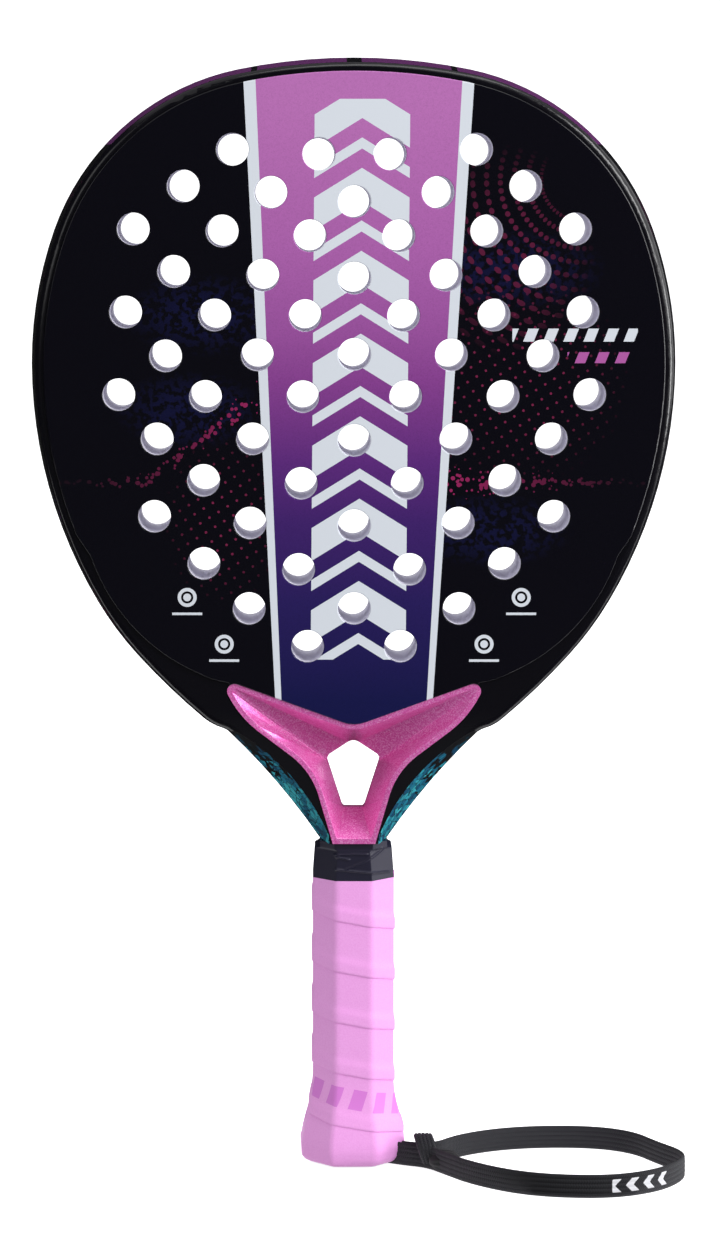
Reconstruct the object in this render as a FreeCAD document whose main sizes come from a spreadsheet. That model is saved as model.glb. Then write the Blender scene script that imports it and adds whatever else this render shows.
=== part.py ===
import FreeCAD, Part
import math
import os
import Sketcher
from FreeCAD import Placement, Rotation, Vector

# Padel racket, standing upright on its butt.  Millimetres.
# +Z runs up the racket from the butt's foot, X is across the face, and the
# front face looks along -Y.  The origin is the middle of the butt's foot.

DRIVING_SIZES = {
    # whole racket
    "overall_length": 447.0,
    "head_width": 260.0,
    "overall_depth": 38.0,
    "widest_height": 324.0,
    # head outline
    "shoulder_radius": 100.0,
    "hip_radius": 134.0,
    "throat_top_x": 60.7,
    "throat_top_height": 179.8,
    "step_radius": 20.0,
    "step_hollow_radius": 7.0,
    "neck_width": 28.0,
    "neck_height": 131.5,
    # frame tube
    "tube_width": 14.0,
    "tube_wall": 2.4,
    "side_slant": 2.5,
    "rim_radius": 3.2,
    "bevel_top_inset": 4.2,
    "bevel_middle_inset": 7.8,
    "bevel_low_inset": 5.2,
    # face plates and foam
    "skin_thickness": 1.2,
    "rim_width": 5.8,
    "plate_edge_radius": 0.6,
    "hole_diameter": 13.0,
    "hole_edge_radius": 0.4,
    "hole_margin": 1.5,
    "bridge_width": 10.0,
    # throat insert
    "insert_rim": 2.0,
    "insert_proud": 0.4,
    "insert_web": 5.0,
    # handle
    "shaft_width": 19.0,
    "shaft_depth": 20.0,
    "shaft_wall": 2.0,
    "shaft_bottom": 14.0,
    "stub_width": 24.0,
    "stub_depth": 29.0,
    "stub_corner": 5.0,
    "pallet_bottom": 34.0,
    "pallet_top": 122.0,
    "grip_width": 32.7,
    "grip_depth_extra": 2.0,
    "grip_top": 116.3,
    "butt_width": 42.0,
    "overgrip_thickness": 0.8,
    "base_grip_thickness": 1.8,
    "overgrip_lift": 0.5,
    # collar, tape and staples
    "collar_top_width": 31.0,
    "collar_lip_width": 27.2,
    "collar_lip_height": 2.6,
    "tape_thickness": 0.3,
    "tape_height": 5.4,
    "staple_wire": 1.0,
    "staple_width": 9.0,
    "staple_leg": 3.0,
    # wrist cord
    "cord_width": 9.3,
    "cord_thickness": 1.4,
    "cord_slot_width": 5.0,
    "cord_slot_height": 10.4,
    "well_diameter": 17.0,
}

# Turns of the outline's arcs, in degrees, going down the right side.
CROWN_TURNS = (11.5, 59.0, 19.5)
FLANK_TURNS = (30.7, 11.4, 7.9)
STEP_TURN = 24.0
STEP_HOLLOW_TURN = 27.5

# Lengths that only help the modelling: how far the outline is carried below
# the neck, how far cutters run past what they cut, and the least distance
# that counts.
HEM = 6.0
OVERRUN = 20.0
NEAR = 1e-6
# Share of a bevel's own depth that its cutter reaches to.
BEVEL_REACH = 1.1

# Drilling chart of the right half: height of each row at the axis, then each
# hole's distance from the axis and how far it has risen above the row.
DRILLING_ROWS = (
    (408.0, ((14.2, 0.2), (48.6, 2.0))),
    (389.2, ((0.0, 0.0), (33.3, 3.7), (68.2, 6.2))),
    (375.5, ((17.7, 0.1), (52.7, 2.0), (88.1, 2.8))),
    (358.7, ((0.0, 0.0), (36.5, 1.2), (72.0, 2.7))),
    (343.7, ((19.6, 0.1), (55.7, 0.3), (91.2, 1.5))),
    (328.3, ((0.0, 0.0), (38.7, -0.2), (75.3, -0.6))),
    (311.4, ((20.5, 0.0), (59.4, 0.1), (94.0, 0.8))),
    (293.9, ((0.0, 0.0), (40.6, 0.6), (78.7, 0.6))),
    (276.5, ((21.2, 0.2), (60.2, 1.4))),
    (259.8, ((0.0, 0.0), (41.6, 1.0), (79.8, 3.7))),
    (241.8, ((22.2, 0.4), (60.1, 2.8))),
    (226.5, ((0.0, 0.0), (42.0, 0.0))),
    (211.3, ((18.6, 0.0),)),
)

# Half of the throat insert's outline, as (x, height), from the bottom of
# the V round the tip and down to the collar.
INSERT_NOTCH = ((0.0, 179.8), (2.3, 180.0), (4.5, 180.6))
INSERT_TIP_CENTRE = (47.9, 193.1)
INSERT_TIP_RADIUS = 3.0
INSERT_TIP_TURN = (110.0, -25.0)
INSERT_SHOULDER = ((50.6, 191.8), (45.6, 184.0), (38.9, 177.3))
INSERT_WAIST = ((25.2, 167.0), (18.0, 159.2), (13.8, 149.5))
INSERT_FOOT = ((9.3, 134.2), (8.6, 131.5))
# Straight steps that follow the tip, the shoulder and the waist.
TIP_STEPS = 6
SHOULDER_STEPS = 5
WAIST_STEPS = 8
# The inner rim keeps no point closer than this to the foot.
FOOT_GAP = 0.5
# Corners of its five-sided window.
WINDOW_TOP = (0.0, 171.8)
WINDOW_SHOULDER = (11.0, 164.6)
WINDOW_FOOT = (4.3, 143.9)
WINDOW_RADII = (4.0, 2.6, 0.8)
WINDOW_STEPS = 4
WINDOW_FOOT_STEPS = 2

# Lower border of the face plates, from the insert's tip out to the rim.
BELOW_NOTCH = (0.0, 172.0)
PLATE_TIP = (50.4, 196.6)
PLATE_TOE = (57.4, 198.2)
PLATE_HEEL = (62.0, 200.2)
# The rest of that border: share of the head's width, and height.
PLATE_SHOULDER = (0.34731, 220.9)
PLATE_HIP = (0.40577, 247.5)
PLATE_OUTSIDE = (0.47692, 275.0)

# Grip profile over the finished handle: height, and width as a share of the
# way from the grip's width (0) to the butt's width (1).
BUTT_PROFILE = (
    (0.5, 0.20), (1.5, 0.60), (3.2, 0.87), (6.5, 1.00), (10.0, 0.93),
    (15.0, 0.68), (21.0, 0.33), (27.0, 0.10), (33.0, 0.0),
)
BEVEL_SHARE = 0.275
# An octagon's cut corner grows by this share of the growth of its width.
CORNER_GROWTH = 1 - math.sqrt(0.5)

# Route of the wrist cord on the ground, as (x, y): out of the butt, through
# the knot, round the loop, back through the knot and into the butt.
CORD_ROUTE = (
    (5.4, -2.4), (19.3, -12.0), (32.0, -15.2), (42.5, -1.0), (60.0, 9.5),
    (80.0, 13.5), (101.0, 12.0), (115.0, 3.5), (122.5, -11.5), (132.5, -27.5),
    (130.0, -39.5), (119.5, -54.0), (101.5, -63.5), (80.0, -63.0),
    (62.5, -57.0), (46.0, -43.0), (36.5, -29.0), (29.5, -17.8),
    (18.2, -13.7), (4.2, -4.1),
)
KNOT_CENTRE = (32.5, -16.0)
KNOT_SIZE = (14.0, 11.0, 13.0)
KNOT_ROUNDING = 3.0
TAIL_KNOT_SIZE = (12.0, 9.0, 10.0)
TAIL_KNOT_ROUNDING = 2.0
TAIL_KNOT_LIFT = 0.5
# Share of the shorter leg that each bend of the cord takes up.
BEND_SHARE = 0.45

# Height of the slope under the collar's lip, and how far below the pallets
# the staples sit.
LIP_SLOPE = 0.6
STAPLE_DROP = 6.0


class Size:
    """A number together with the spreadsheet formula that gives it."""

    def __init__(self, value, text):
        self.value = value
        self.text = text

    def __float__(self):
        return float(self.value)

    def join(self, other, sign, value):
        right = other.text if isinstance(other, Size) else repr(float(other))
        return Size(value, f"({self.text} {sign} {right})")

    def __add__(self, other):
        return self.join(other, "+", self.value + float(other))

    def __sub__(self, other):
        return self.join(other, "-", self.value - float(other))

    def __mul__(self, other):
        return self.join(other, "*", self.value * float(other))

    def __truediv__(self, other):
        return self.join(other, "/", self.value / float(other))

    def __neg__(self):
        return Size(-self.value, f"(0 - {self.text})")


NOTHING = Size(0.0, "0.0")


class Sizes:
    """The driving sizes, kept in the document's spreadsheet."""

    def __init__(self, document):
        sheet = document.addObject("Spreadsheet::Sheet", "sizes")
        for row, (name, value) in enumerate(DRIVING_SIZES.items(), start=1):
            sheet.set(f"A{row}", name)
            sheet.set(f"B{row}", str(value))
            sheet.setAlias(f"B{row}", name)
            setattr(self, name, Size(value, f"sizes.{name}"))
        document.recompute()


def bind(thing, place, size):
    """Tie one property of an object to the spreadsheet."""
    thing.setExpression(place, size.text)


# ---------------------------------------------------------------- drawing

def flat(point):
    """A point (x, height) of the racket's middle plane."""
    return Vector(point[0], 0, point[1])


def arc_step(radius, heading, turn):
    """Where an arc that bends right by turn degrees leads, from (0, 0)."""
    first = math.radians(heading)
    last = math.radians(heading - turn)
    side = 1.0 if turn > 0 else -1.0
    across = side * radius * (math.sin(first) - math.sin(last))
    up = side * radius * (math.cos(last) - math.cos(first))
    return across, up


def draw_arc(start, radius, heading, turn):
    """An arc edge and its end point."""
    half = arc_step(radius, heading, turn / 2)
    full = arc_step(radius, heading, turn)
    middle = (start[0] + half[0], start[1] + half[1])
    end = (start[0] + full[0], start[1] + full[1])
    return Part.Arc(flat(start), flat(middle), flat(end)).toShape(), end


def draw_chain(start, heading, radii, turns):
    edges = []
    for radius, turn in zip(radii, turns):
        edge, start = draw_arc(start, radius, heading, turn)
        edges.append(edge)
        heading -= turn
    return edges, start, heading


def end_radii(start, end, heading, middle_radius, turns):
    """First and last radius of three arcs that must join two points."""
    steps = []
    for turn in turns:
        steps.append(arc_step(1.0, heading, turn))
        heading -= turn
    across = end[0] - start[0] - middle_radius * steps[1][0]
    up = end[1] - start[1] - middle_radius * steps[1][1]
    scale = steps[0][0] * steps[2][1] - steps[0][1] * steps[2][0]
    first = (across * steps[2][1] - up * steps[2][0]) / scale
    last = (steps[0][0] * up - steps[0][1] * across) / scale
    return first, middle_radius, last


def arc_to(start, heading, end):
    """Radius and turn of the one arc that leaves start on a heading."""
    across = end[0] - start[0]
    up = end[1] - start[1]
    turn = 2 * (heading - math.degrees(math.atan2(up, across)))
    turn = (turn + 180) % 360 - 180
    radius = math.hypot(across, up) / (2 * abs(math.sin(math.radians(turn / 2))))
    return radius, turn


def mirror_edges(edges):
    return [edge.mirror(Vector(0, 0, 0), Vector(1, 0, 0)) for edge in edges]


def closed_face(edges):
    wire = Part.Wire(Part.__sortEdges__(edges))
    return Part.Face(wire)


def line(start, end):
    return Part.LineSegment(flat(start), flat(end)).toShape()


def mirrored_loop(points, level=0.0):
    """A closed wire through a right half's points and their mirror images."""
    left = [(-x, z) for x, z in reversed(points) if x > NEAR]
    corners = [Vector(x, level, z) for x, z in list(points) + left]
    return Part.makePolygon(corners + corners[:1])


def sample_arc(start, middle, end, steps):
    """Points along an arc, its two ends included."""
    curve = Part.Arc(flat(start), flat(middle), flat(end))
    points = curve.discretize(Number=steps + 1)
    return [(point.x, point.z) for point in points]


# ---------------------------------------------------------------- outlines

class Outlines:
    """Flat shapes in the racket's middle plane that several pieces share."""

    def __init__(self, sizes):
        self.sizes = sizes
        self.racket = self.racket_face()
        self.insert_points = self.insert_outline()
        self.tip_foot = self.insert_points[len(INSERT_NOTCH) + TIP_STEPS]
        self.insert = Part.Face(mirrored_loop(self.insert_points))
        self.inside_tube = self.inset_face(float(sizes.tube_width))
        self.core = self.inside_tube.common(self.above_notch(float(sizes.bridge_width)))
        self.inside = self.inside_tube.common(self.above_tips())
        self.bridge = self.inside.cut([self.core, self.insert])
        self.plate = self.plate_face()

    def racket_face(self):
        sizes = self.sizes
        top = (0.0, float(sizes.overall_length))
        widest = (float(sizes.head_width / 2), float(sizes.widest_height))
        throat = (float(sizes.throat_top_x), float(sizes.throat_top_height))
        crown_radii = end_radii(top, widest, 0.0, float(sizes.shoulder_radius), CROWN_TURNS)
        crown, corner, heading = draw_chain(top, 0.0, crown_radii, CROWN_TURNS)
        flank_radii = end_radii(widest, throat, -90.0, float(sizes.hip_radius), FLANK_TURNS)
        flank, corner, heading = draw_chain(widest, -90.0, flank_radii, FLANK_TURNS)
        step_radii = (float(sizes.step_radius), float(sizes.step_hollow_radius))
        step_turns = (STEP_TURN, -STEP_HOLLOW_TURN)
        step, corner, heading = draw_chain(throat, heading, step_radii, step_turns)
        self.neck_top = corner
        self.neck_foot = (float(sizes.neck_width / 2), float(sizes.neck_height))
        radius, turn = arc_to(corner, heading, self.neck_foot)
        neck, corner = draw_arc(corner, radius, heading, turn)
        self.neck_middle = self.arc_middle(neck)
        hem = (self.neck_foot[0], self.neck_foot[1] - HEM)
        edges = crown + flank + step + [neck, line(self.neck_foot, hem)]
        edges += mirror_edges(edges)
        edges.append(line(hem, (-hem[0], hem[1])))
        return closed_face(edges)

    @staticmethod
    def arc_middle(edge):
        point = edge.valueAt((edge.FirstParameter + edge.LastParameter) / 2)
        return point.x, point.z

    def inset_face(self, distance):
        wire = self.racket.OuterWire.makeOffset2D(-distance, 2)
        return Part.Face(wire)

    @staticmethod
    def insert_outline():
        points = list(INSERT_NOTCH)
        first, last = INSERT_TIP_TURN
        for step in range(TIP_STEPS + 1):
            angle = math.radians(first + (last - first) * step / TIP_STEPS)
            across = INSERT_TIP_CENTRE[0] + INSERT_TIP_RADIUS * math.cos(angle)
            up = INSERT_TIP_CENTRE[1] + INSERT_TIP_RADIUS * math.sin(angle)
            points.append((across, up))
        points += sample_arc(*INSERT_SHOULDER, SHOULDER_STEPS)[1:]
        points += sample_arc(*INSERT_WAIST, WAIST_STEPS)
        points += INSERT_FOOT
        return points

    def above_notch(self, lift):
        """The region above the insert's V, moved up by lift."""
        notch = [(x, z + lift) for x, z in self.insert_points[:len(INSERT_NOTCH) + 1]]
        slope = (notch[-1][1] - notch[-2][1]) / (notch[-1][0] - notch[-2][0])
        reach = float(self.sizes.head_width)
        far = (reach, notch[-1][1] + slope * (reach - notch[-1][0]))
        top = (reach, float(self.sizes.overall_length) + OVERRUN)
        return Part.Face(mirrored_loop(notch + [far, top]))

    def above_tips(self):
        """The region above the insert's V and level with its two tips."""
        notch = self.insert_points[:len(INSERT_NOTCH) + 1]
        reach = float(self.sizes.head_width)
        top = (reach, float(self.sizes.overall_length) + OVERRUN)
        return Part.Face(mirrored_loop(notch + [self.tip_foot, (reach, self.tip_foot[1]), top]))

    def plate_face(self):
        """Face plate: inside the rim, above the shoulders and the insert."""
        rim = self.inset_face(float(self.sizes.rim_width))
        reach = float(self.sizes.head_width)
        beyond = (reach, 2 * reach)
        shoulder, hip, outside = [
            (share * reach, height) for share, height in (PLATE_SHOULDER, PLATE_HIP, PLATE_OUTSIDE)]
        edges = [
            line(INSERT_TIP_CENTRE, PLATE_TIP),
            Part.Arc(flat(PLATE_TIP), flat(PLATE_TOE), flat(PLATE_HEEL)).toShape(),
            Part.Arc(flat(PLATE_HEEL), flat(shoulder), flat(hip)).toShape(),
            line(hip, outside),
            line(outside, beyond),
            line(INSERT_TIP_CENTRE, BELOW_NOTCH),
        ]
        edges += mirror_edges(edges)
        edges.append(line(beyond, (-reach, 2 * reach)))
        return rim.common(closed_face(edges)).cut(self.insert)


# ---------------------------------------------------------------- builders

def plane_of(body, role):
    for feature in body.Origin.OriginFeatures:
        if feature.Role == role:
            return feature
    raise ValueError(role)


def add_outline(sketch, shape):
    """Copy the edges of a flat shape in the middle plane into a sketch."""
    for face in shape.Faces:
        for edge in face.Edges:
            start = edge.valueAt(edge.FirstParameter)
            end = edge.valueAt(edge.LastParameter)
            if edge.Curve.TypeId == "Part::GeomLine":
                sketch.addGeometry(Part.LineSegment(Vector(start.x, start.z, 0), Vector(end.x, end.z, 0)))
            else:
                half = edge.valueAt((edge.FirstParameter + edge.LastParameter) / 2)
                ends = [Vector(point.x, point.z, 0) for point in (start, half, end)]
                sketch.addGeometry(Part.Arc(*ends))


def new_body(document, label):
    body = document.addObject("PartDesign::Body", label)
    body.Label = label
    return body


def new_sketch(body, name, role, lift):
    sketch = body.newObject("Sketcher::SketchObject", name)
    sketch.AttachmentSupport = [(plane_of(body, role), "")]
    sketch.MapMode = "FlatFace"
    bind(sketch, ".AttachmentOffset.Base.z", lift)
    return sketch


def new_pad(body, sketch, name, length, both_ways=False, backward=False):
    pad = body.newObject("PartDesign::Pad", name)
    pad.Profile = sketch
    bind(pad, "Length", length)
    pad.Midplane = both_ways
    pad.Reversed = backward
    body.Tip = pad
    return pad


def place_point(sketch, edge, end, across, up):
    """Fix a sketch point at spreadsheet distances from the origin."""
    for kind, size in (("DistanceX", across), ("DistanceY", up)):
        number = sketch.addConstraint(Sketcher.Constraint(kind, -1, 1, edge, end, float(size)))
        bind(sketch, f"Constraints[{number}]", size)


def draw_polygon(sketch, corners):
    """A closed polygon whose corners are pairs of sizes."""
    points = [Vector(float(across), float(up), 0) for across, up in corners]
    first = sketch.GeometryCount
    for number, point in enumerate(points):
        following = points[(number + 1) % len(points)]
        sketch.addGeometry(Part.LineSegment(point, following))
    for number, (across, up) in enumerate(corners):
        following = first + (number + 1) % len(points)
        sketch.addConstraint(Sketcher.Constraint("Coincident", first + number, 2, following, 1))
        place_point(sketch, first + number, 1, across, up)


def octagon(width, depth, bevel):
    """Corners of an octagon centred on the handle's axis."""
    x, y = width / 2, depth / 2
    near_x, near_y = x - bevel, y - bevel
    return [(near_x, -y), (x, -near_y), (x, near_y), (near_x, y),
            (-near_x, y), (-x, near_y), (-x, -near_y), (-near_x, -y)]


def box(document, name, width, depth, low, high):
    """A box centred on the handle's axis, from one height to another."""
    block = document.addObject("Part::Box", name)
    bind(block, "Length", width)
    bind(block, "Width", depth)
    bind(block, "Height", high - low)
    bind(block, ".Placement.Base.x", -(width / 2))
    bind(block, ".Placement.Base.y", -(depth / 2))
    bind(block, ".Placement.Base.z", low)
    return block


def cut(document, name, base, tool):
    result = document.addObject("Part::Cut", name)
    result.Base = base
    result.Tool = tool
    return result


def fuse(document, name, shapes):
    result = document.addObject("Part::MultiFuse", name)
    result.Shapes = shapes
    return result


def shape_feature(document, name, shape):
    feature = document.addObject("Part::Feature", name)
    feature.Shape = shape
    return feature


def prism(document, name, outline, half_depth, slant=None):
    """A flat outline made thick both ways from the middle plane."""
    sketch = document.addObject("Sketcher::SketchObject", name + "_outline")
    sketch.Placement = Placement(Vector(0, 0, 0), Rotation(Vector(1, 0, 0), 90))
    add_outline(sketch, outline)
    solid = document.addObject("Part::Extrusion", name)
    solid.Base = sketch
    solid.DirMode = "Normal"
    solid.Solid = True
    bind(solid, "LengthFwd", half_depth)
    bind(solid, "LengthRev", half_depth)
    if slant is not None:
        inward = Size(0, f"-1 * atan({slant.text} / {half_depth.text})")
        bind(solid, "TaperAngle", inward)
        bind(solid, "TaperAngleRev", inward)
    return solid


# ---------------------------------------------------------------- head

def neck_bevel(outlines, half_depth):
    """Cutter for the flat that slants back from the arm's front to its side."""
    sizes = outlines.sizes
    silhouette = (outlines.neck_top, outlines.neck_middle, outlines.neck_foot)
    insets = (sizes.bevel_top_inset, sizes.bevel_middle_inset, sizes.bevel_low_inset)
    run = math.hypot(silhouette[0][0] - silhouette[2][0], silhouette[0][1] - silhouette[2][1])
    inward = ((silhouette[2][1] - silhouette[0][1]) / run, (silhouette[0][0] - silhouette[2][0]) / run)
    beyond = float(sizes.head_width / 2)
    under = outlines.neck_foot[1] - OVERRUN
    sections = []
    for share in (0.0, BEVEL_REACH):
        points = []
        for (x, z), inset in zip(silhouette, insets):
            move = share * float(inset)
            points.append(Vector(x + move * inward[0], -share * half_depth, z + move * inward[1]))
        low = Vector(points[2].x, points[2].y, under)
        far = Vector(beyond, points[2].y, under)
        high = Vector(beyond, points[0].y, points[0].z)
        sections.append(Part.Wire([
            Part.Arc(*points).toShape(), Part.makeLine(points[2], low),
            Part.makeLine(low, far), Part.makeLine(far, high), Part.makeLine(high, points[0])]))
    return Part.makeLoft(sections, True, True)


def four_ways(shape):
    """A shape with its mirror images left, right, front and rear."""
    both = [shape, shape.mirror(Vector(0, 0, 0), Vector(1, 0, 0))]
    return both + [side.mirror(Vector(0, 0, 0), Vector(0, 1, 0)) for side in both]


def rim_edges(solid, half_depth):
    """Numbers of the edges that bound the two flat sides of the blank."""
    numbers = []
    for number, edge in enumerate(solid.Edges, start=1):
        bounds = edge.BoundBox
        if bounds.YLength < NEAR and abs(abs(bounds.YMin) - half_depth) < NEAR:
            numbers.append(number)
    return numbers


def make_frame_hoop(document, outlines):
    """Tubular hoop with its two arms, the neck stub and the hollow shaft."""
    sizes = outlines.sizes
    half_depth = sizes.overall_depth / 2 - sizes.skin_thickness
    blank = prism(document, "hoop_blank", outlines.racket, half_depth, sizes.side_slant)
    document.recompute()
    rounded = document.addObject("Part::Fillet", "hoop_rounded")
    rounded.Base = blank
    radius = float(sizes.rim_radius)
    rounded.Edges = [(number, radius, radius) for number in rim_edges(blank.Shape, float(half_depth))]

    reach = sizes.head_width * 2
    under = sizes.neck_height - HEM - OVERRUN
    hem = box(document, "hoop_hem", reach, reach, under, sizes.neck_height)
    inside = prism(document, "hoop_inside", outlines.inside, reach)
    insert = prism(document, "hoop_throat", outlines.insert, reach)
    bevel = neck_bevel(outlines, float(half_depth))
    bevels = shape_feature(document, "hoop_bevels", Part.makeCompound(four_ways(bevel)))
    hollow = shape_feature(document, "hoop_hollow", tube_hollow(outlines, float(half_depth)))
    trimmed = cut(document, "hoop_trimmed", rounded, hem)
    opened = cut(document, "hoop_opened", trimmed, inside)
    notched = cut(document, "hoop_notched", opened, insert)
    bevelled = cut(document, "hoop_bevelled", notched, bevels)
    hollowed = cut(document, "hoop_hollowed", bevelled, hollow)

    stub = neck_stub(document, sizes, "neck_stub")
    shaft = box(document, "shaft_block", sizes.shaft_width, sizes.shaft_depth,
                sizes.shaft_bottom, sizes.pallet_top)
    bore = box(document, "shaft_bore", sizes.shaft_width - sizes.shaft_wall * 2,
               sizes.shaft_depth - sizes.shaft_wall * 2, sizes.shaft_bottom, sizes.pallet_top)
    shaft_tube = cut(document, "shaft_tube", shaft, bore)
    return fuse(document, "frame_hoop", [hollowed, stub, shaft_tube])


def neck_stub(document, sizes, name):
    """The neck inside the collar, with its corners cut off."""
    return stacked_loft(document, name, [
        (sizes.pallet_top, sizes.stub_width, sizes.stub_depth, sizes.stub_corner),
        (sizes.neck_height, sizes.stub_width, sizes.stub_depth, sizes.stub_corner)])


def tube_hollow(outlines, half_depth):
    """The closed air space inside the hoop, above the throat insert."""
    sizes = outlines.sizes
    wall = float(sizes.tube_wall)
    outer = outlines.inset_face(wall + float(sizes.side_slant))
    inner = outlines.inset_face(float(sizes.tube_width) - wall)
    floor = outlines.tip_foot[1] + wall
    reach = 2 * float(sizes.head_width)
    above = Part.Face(mirrored_loop([(reach, floor), (reach, floor + reach)]))
    ring = outer.cut(inner).common(above)
    depth = half_depth - wall
    ring.translate(Vector(0, -depth, 0))
    return ring.extrude(Vector(0, 2 * depth, 0))


def hole_centres(outlines):
    """Drilled holes that clear the foam core's edge by the margin."""
    sizes = outlines.sizes
    clear = float(sizes.hole_diameter / 2 + sizes.hole_margin)
    border = outlines.core.Faces[0].OuterWire
    centres = []
    for height, spots in DRILLING_ROWS:
        for distance, rise in spots:
            point = (distance, height + rise)
            spot = Part.Vertex(flat(point))
            inside = outlines.core.Faces[0].isInside(flat(point), NEAR, True)
            if inside and spot.distToShape(border)[0] > clear:
                centres.append(point)
                if distance:
                    centres.append((-point[0], point[1]))
    return centres


def drill(body, outlines, name, depth):
    """Pocket every hole of the drilling chart through a body."""
    sketch = new_sketch(body, name + "_holes", "XZ_Plane", NOTHING)
    radius = outlines.sizes.hole_diameter / 2
    for x, z in hole_centres(outlines):
        sketch.addGeometry(Part.Circle(Vector(x, z, 0), Vector(0, 0, 1), float(radius)))
    for number in range(sketch.GeometryCount):
        limit = sketch.addConstraint(Sketcher.Constraint("Radius", number, float(radius)))
        bind(sketch, f"Constraints[{limit}]", radius)
    pocket = body.newObject("PartDesign::Pocket", name + "_drilled")
    pocket.Profile = sketch
    pocket.Midplane = True
    bind(pocket, "Length", depth)
    body.Tip = pocket
    return pocket


def make_eva_core(document, outlines):
    """Foam slab that fills the hoop."""
    sizes = outlines.sizes
    body = new_body(document, "eva_core")
    sketch = new_sketch(body, "core_outline", "XZ_Plane", NOTHING)
    add_outline(sketch, outlines.core)
    thickness = sizes.overall_depth - sizes.skin_thickness * 2
    new_pad(body, sketch, "core_slab", thickness, both_ways=True)
    drill(body, outlines, "core", sizes.overall_depth * 2)
    return body


def make_throat_bridge(document, outlines):
    """Piece that closes the hoop above the throat insert."""
    sizes = outlines.sizes
    body = new_body(document, "throat_bridge")
    sketch = new_sketch(body, "bridge_outline", "XZ_Plane", NOTHING)
    add_outline(sketch, outlines.bridge)
    thickness = sizes.overall_depth - sizes.skin_thickness * 2
    new_pad(body, sketch, "bridge_block", thickness, both_ways=True)
    return body


def make_face_plate(document, outlines, label, front):
    """Laminate plate over the core, drilled, with its outer edge eased."""
    sizes = outlines.sizes
    body = new_body(document, label)
    inner = sizes.overall_depth / 2 - sizes.skin_thickness
    sketch = new_sketch(body, label + "_outline", "XZ_Plane", inner if front else -inner)
    add_outline(sketch, outlines.plate)
    new_pad(body, sketch, label + "_sheet", sizes.skin_thickness, backward=not front)
    drill(body, outlines, label, sizes.overall_depth * 2)
    document.recompute()
    outside = float(sizes.overall_depth / 2) * (-1 if front else 1)
    hole_radius = float(sizes.hole_diameter / 2)
    border = outside_edges(body.Shape, outside, hole_radius, False)
    ease(body, label + "_border", border, sizes.plate_edge_radius)
    document.recompute()
    holes = outside_edges(body.Shape, outside, hole_radius, True)
    ease(body, label + "_rims", holes, sizes.hole_edge_radius)
    return body


def outside_edges(solid, outside, hole_radius, of_holes):
    """Names of the edges on a plate's outer side: the holes' or the border's."""
    names = []
    for number, edge in enumerate(solid.Edges, start=1):
        bounds = edge.BoundBox
        if abs(bounds.YMin - outside) > NEAR or abs(bounds.YMax - outside) > NEAR:
            continue
        circle = edge.Curve.TypeId == "Part::GeomCircle"
        round_hole = circle and abs(edge.Curve.Radius - hole_radius) < NEAR
        if round_hole == of_holes:
            names.append(f"Edge{number}")
    return names


def ease(body, name, edges, radius):
    """Round some edges of a body's last feature."""
    base = body.Tip
    fillet = body.newObject("PartDesign::Fillet", name)
    fillet.Base = (base, edges)
    bind(fillet, "Radius", radius)
    body.Tip = fillet


# ---------------------------------------------------------------- throat insert

def window_corner(before, corner, after, radius, steps=WINDOW_STEPS):
    """Points round one rounded corner of the window."""
    def unit(point):
        run = math.hypot(point[0] - corner[0], point[1] - corner[1])
        return (point[0] - corner[0]) / run, (point[1] - corner[1]) / run
    first, last = unit(before), unit(after)
    half = math.acos(first[0] * last[0] + first[1] * last[1]) / 2
    back = radius / math.tan(half)
    start = (corner[0] + first[0] * back, corner[1] + first[1] * back)
    end = (corner[0] + last[0] * back, corner[1] + last[1] * back)
    middle = (first[0] + last[0], first[1] + last[1])
    run = math.hypot(*middle)
    reach = radius / math.sin(half) - radius
    peak = (corner[0] + middle[0] / run * reach, corner[1] + middle[1] / run * reach)
    return sample_arc(start, peak, end, steps)


def inner_rim(points, inset):
    """The insert's outline moved inwards, one point for each point."""
    moved = []
    for number, (x, z) in enumerate(points):
        before = points[number - 1] if number else (-points[1][0], points[1][1])
        after = points[number + 1] if number + 1 < len(points) else (x, z - 1.0)
        normals = []
        for first, last in ((before, (x, z)), ((x, z), after)):
            run = math.hypot(last[0] - first[0], last[1] - first[1])
            normals.append(((last[1] - first[1]) / run, (first[0] - last[0]) / run))
        across = normals[0][0] + normals[1][0]
        up = normals[0][1] + normals[1][1]
        scale = inset * 2 / (across * across + up * up)
        moved.append((x + across * scale, z + up * scale))
    foot = points[-1][1] + inset
    return [point for point in moved if point[1] > foot + FOOT_GAP] + [(moved[-1][0], foot)]


def fan(outer, inner):
    """Triangles that join two runs of points, corner first."""
    triangles = [(outer[0], inner[i], inner[i + 1]) for i in range(len(inner) - 1)]
    triangles += [(outer[i], outer[i + 1], inner[-1]) for i in range(len(outer) - 1)]
    return triangles


def insert_facets(rim, top, shoulder, foot):
    """Sunken facets of the right half, from the rim to the window."""
    tip = len(INSERT_NOTCH) + TIP_STEPS // 2
    waist = len(rim) - len(INSERT_FOOT) - 1
    facets = fan(rim[:tip + 1], top)
    facets += fan(rim[tip:tip + 1], [top[-1]] + shoulder[:1])
    facets += fan(rim[tip:waist + 1], shoulder)
    facets += fan(rim[waist:], [shoulder[-1]] + foot)
    return facets


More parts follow.
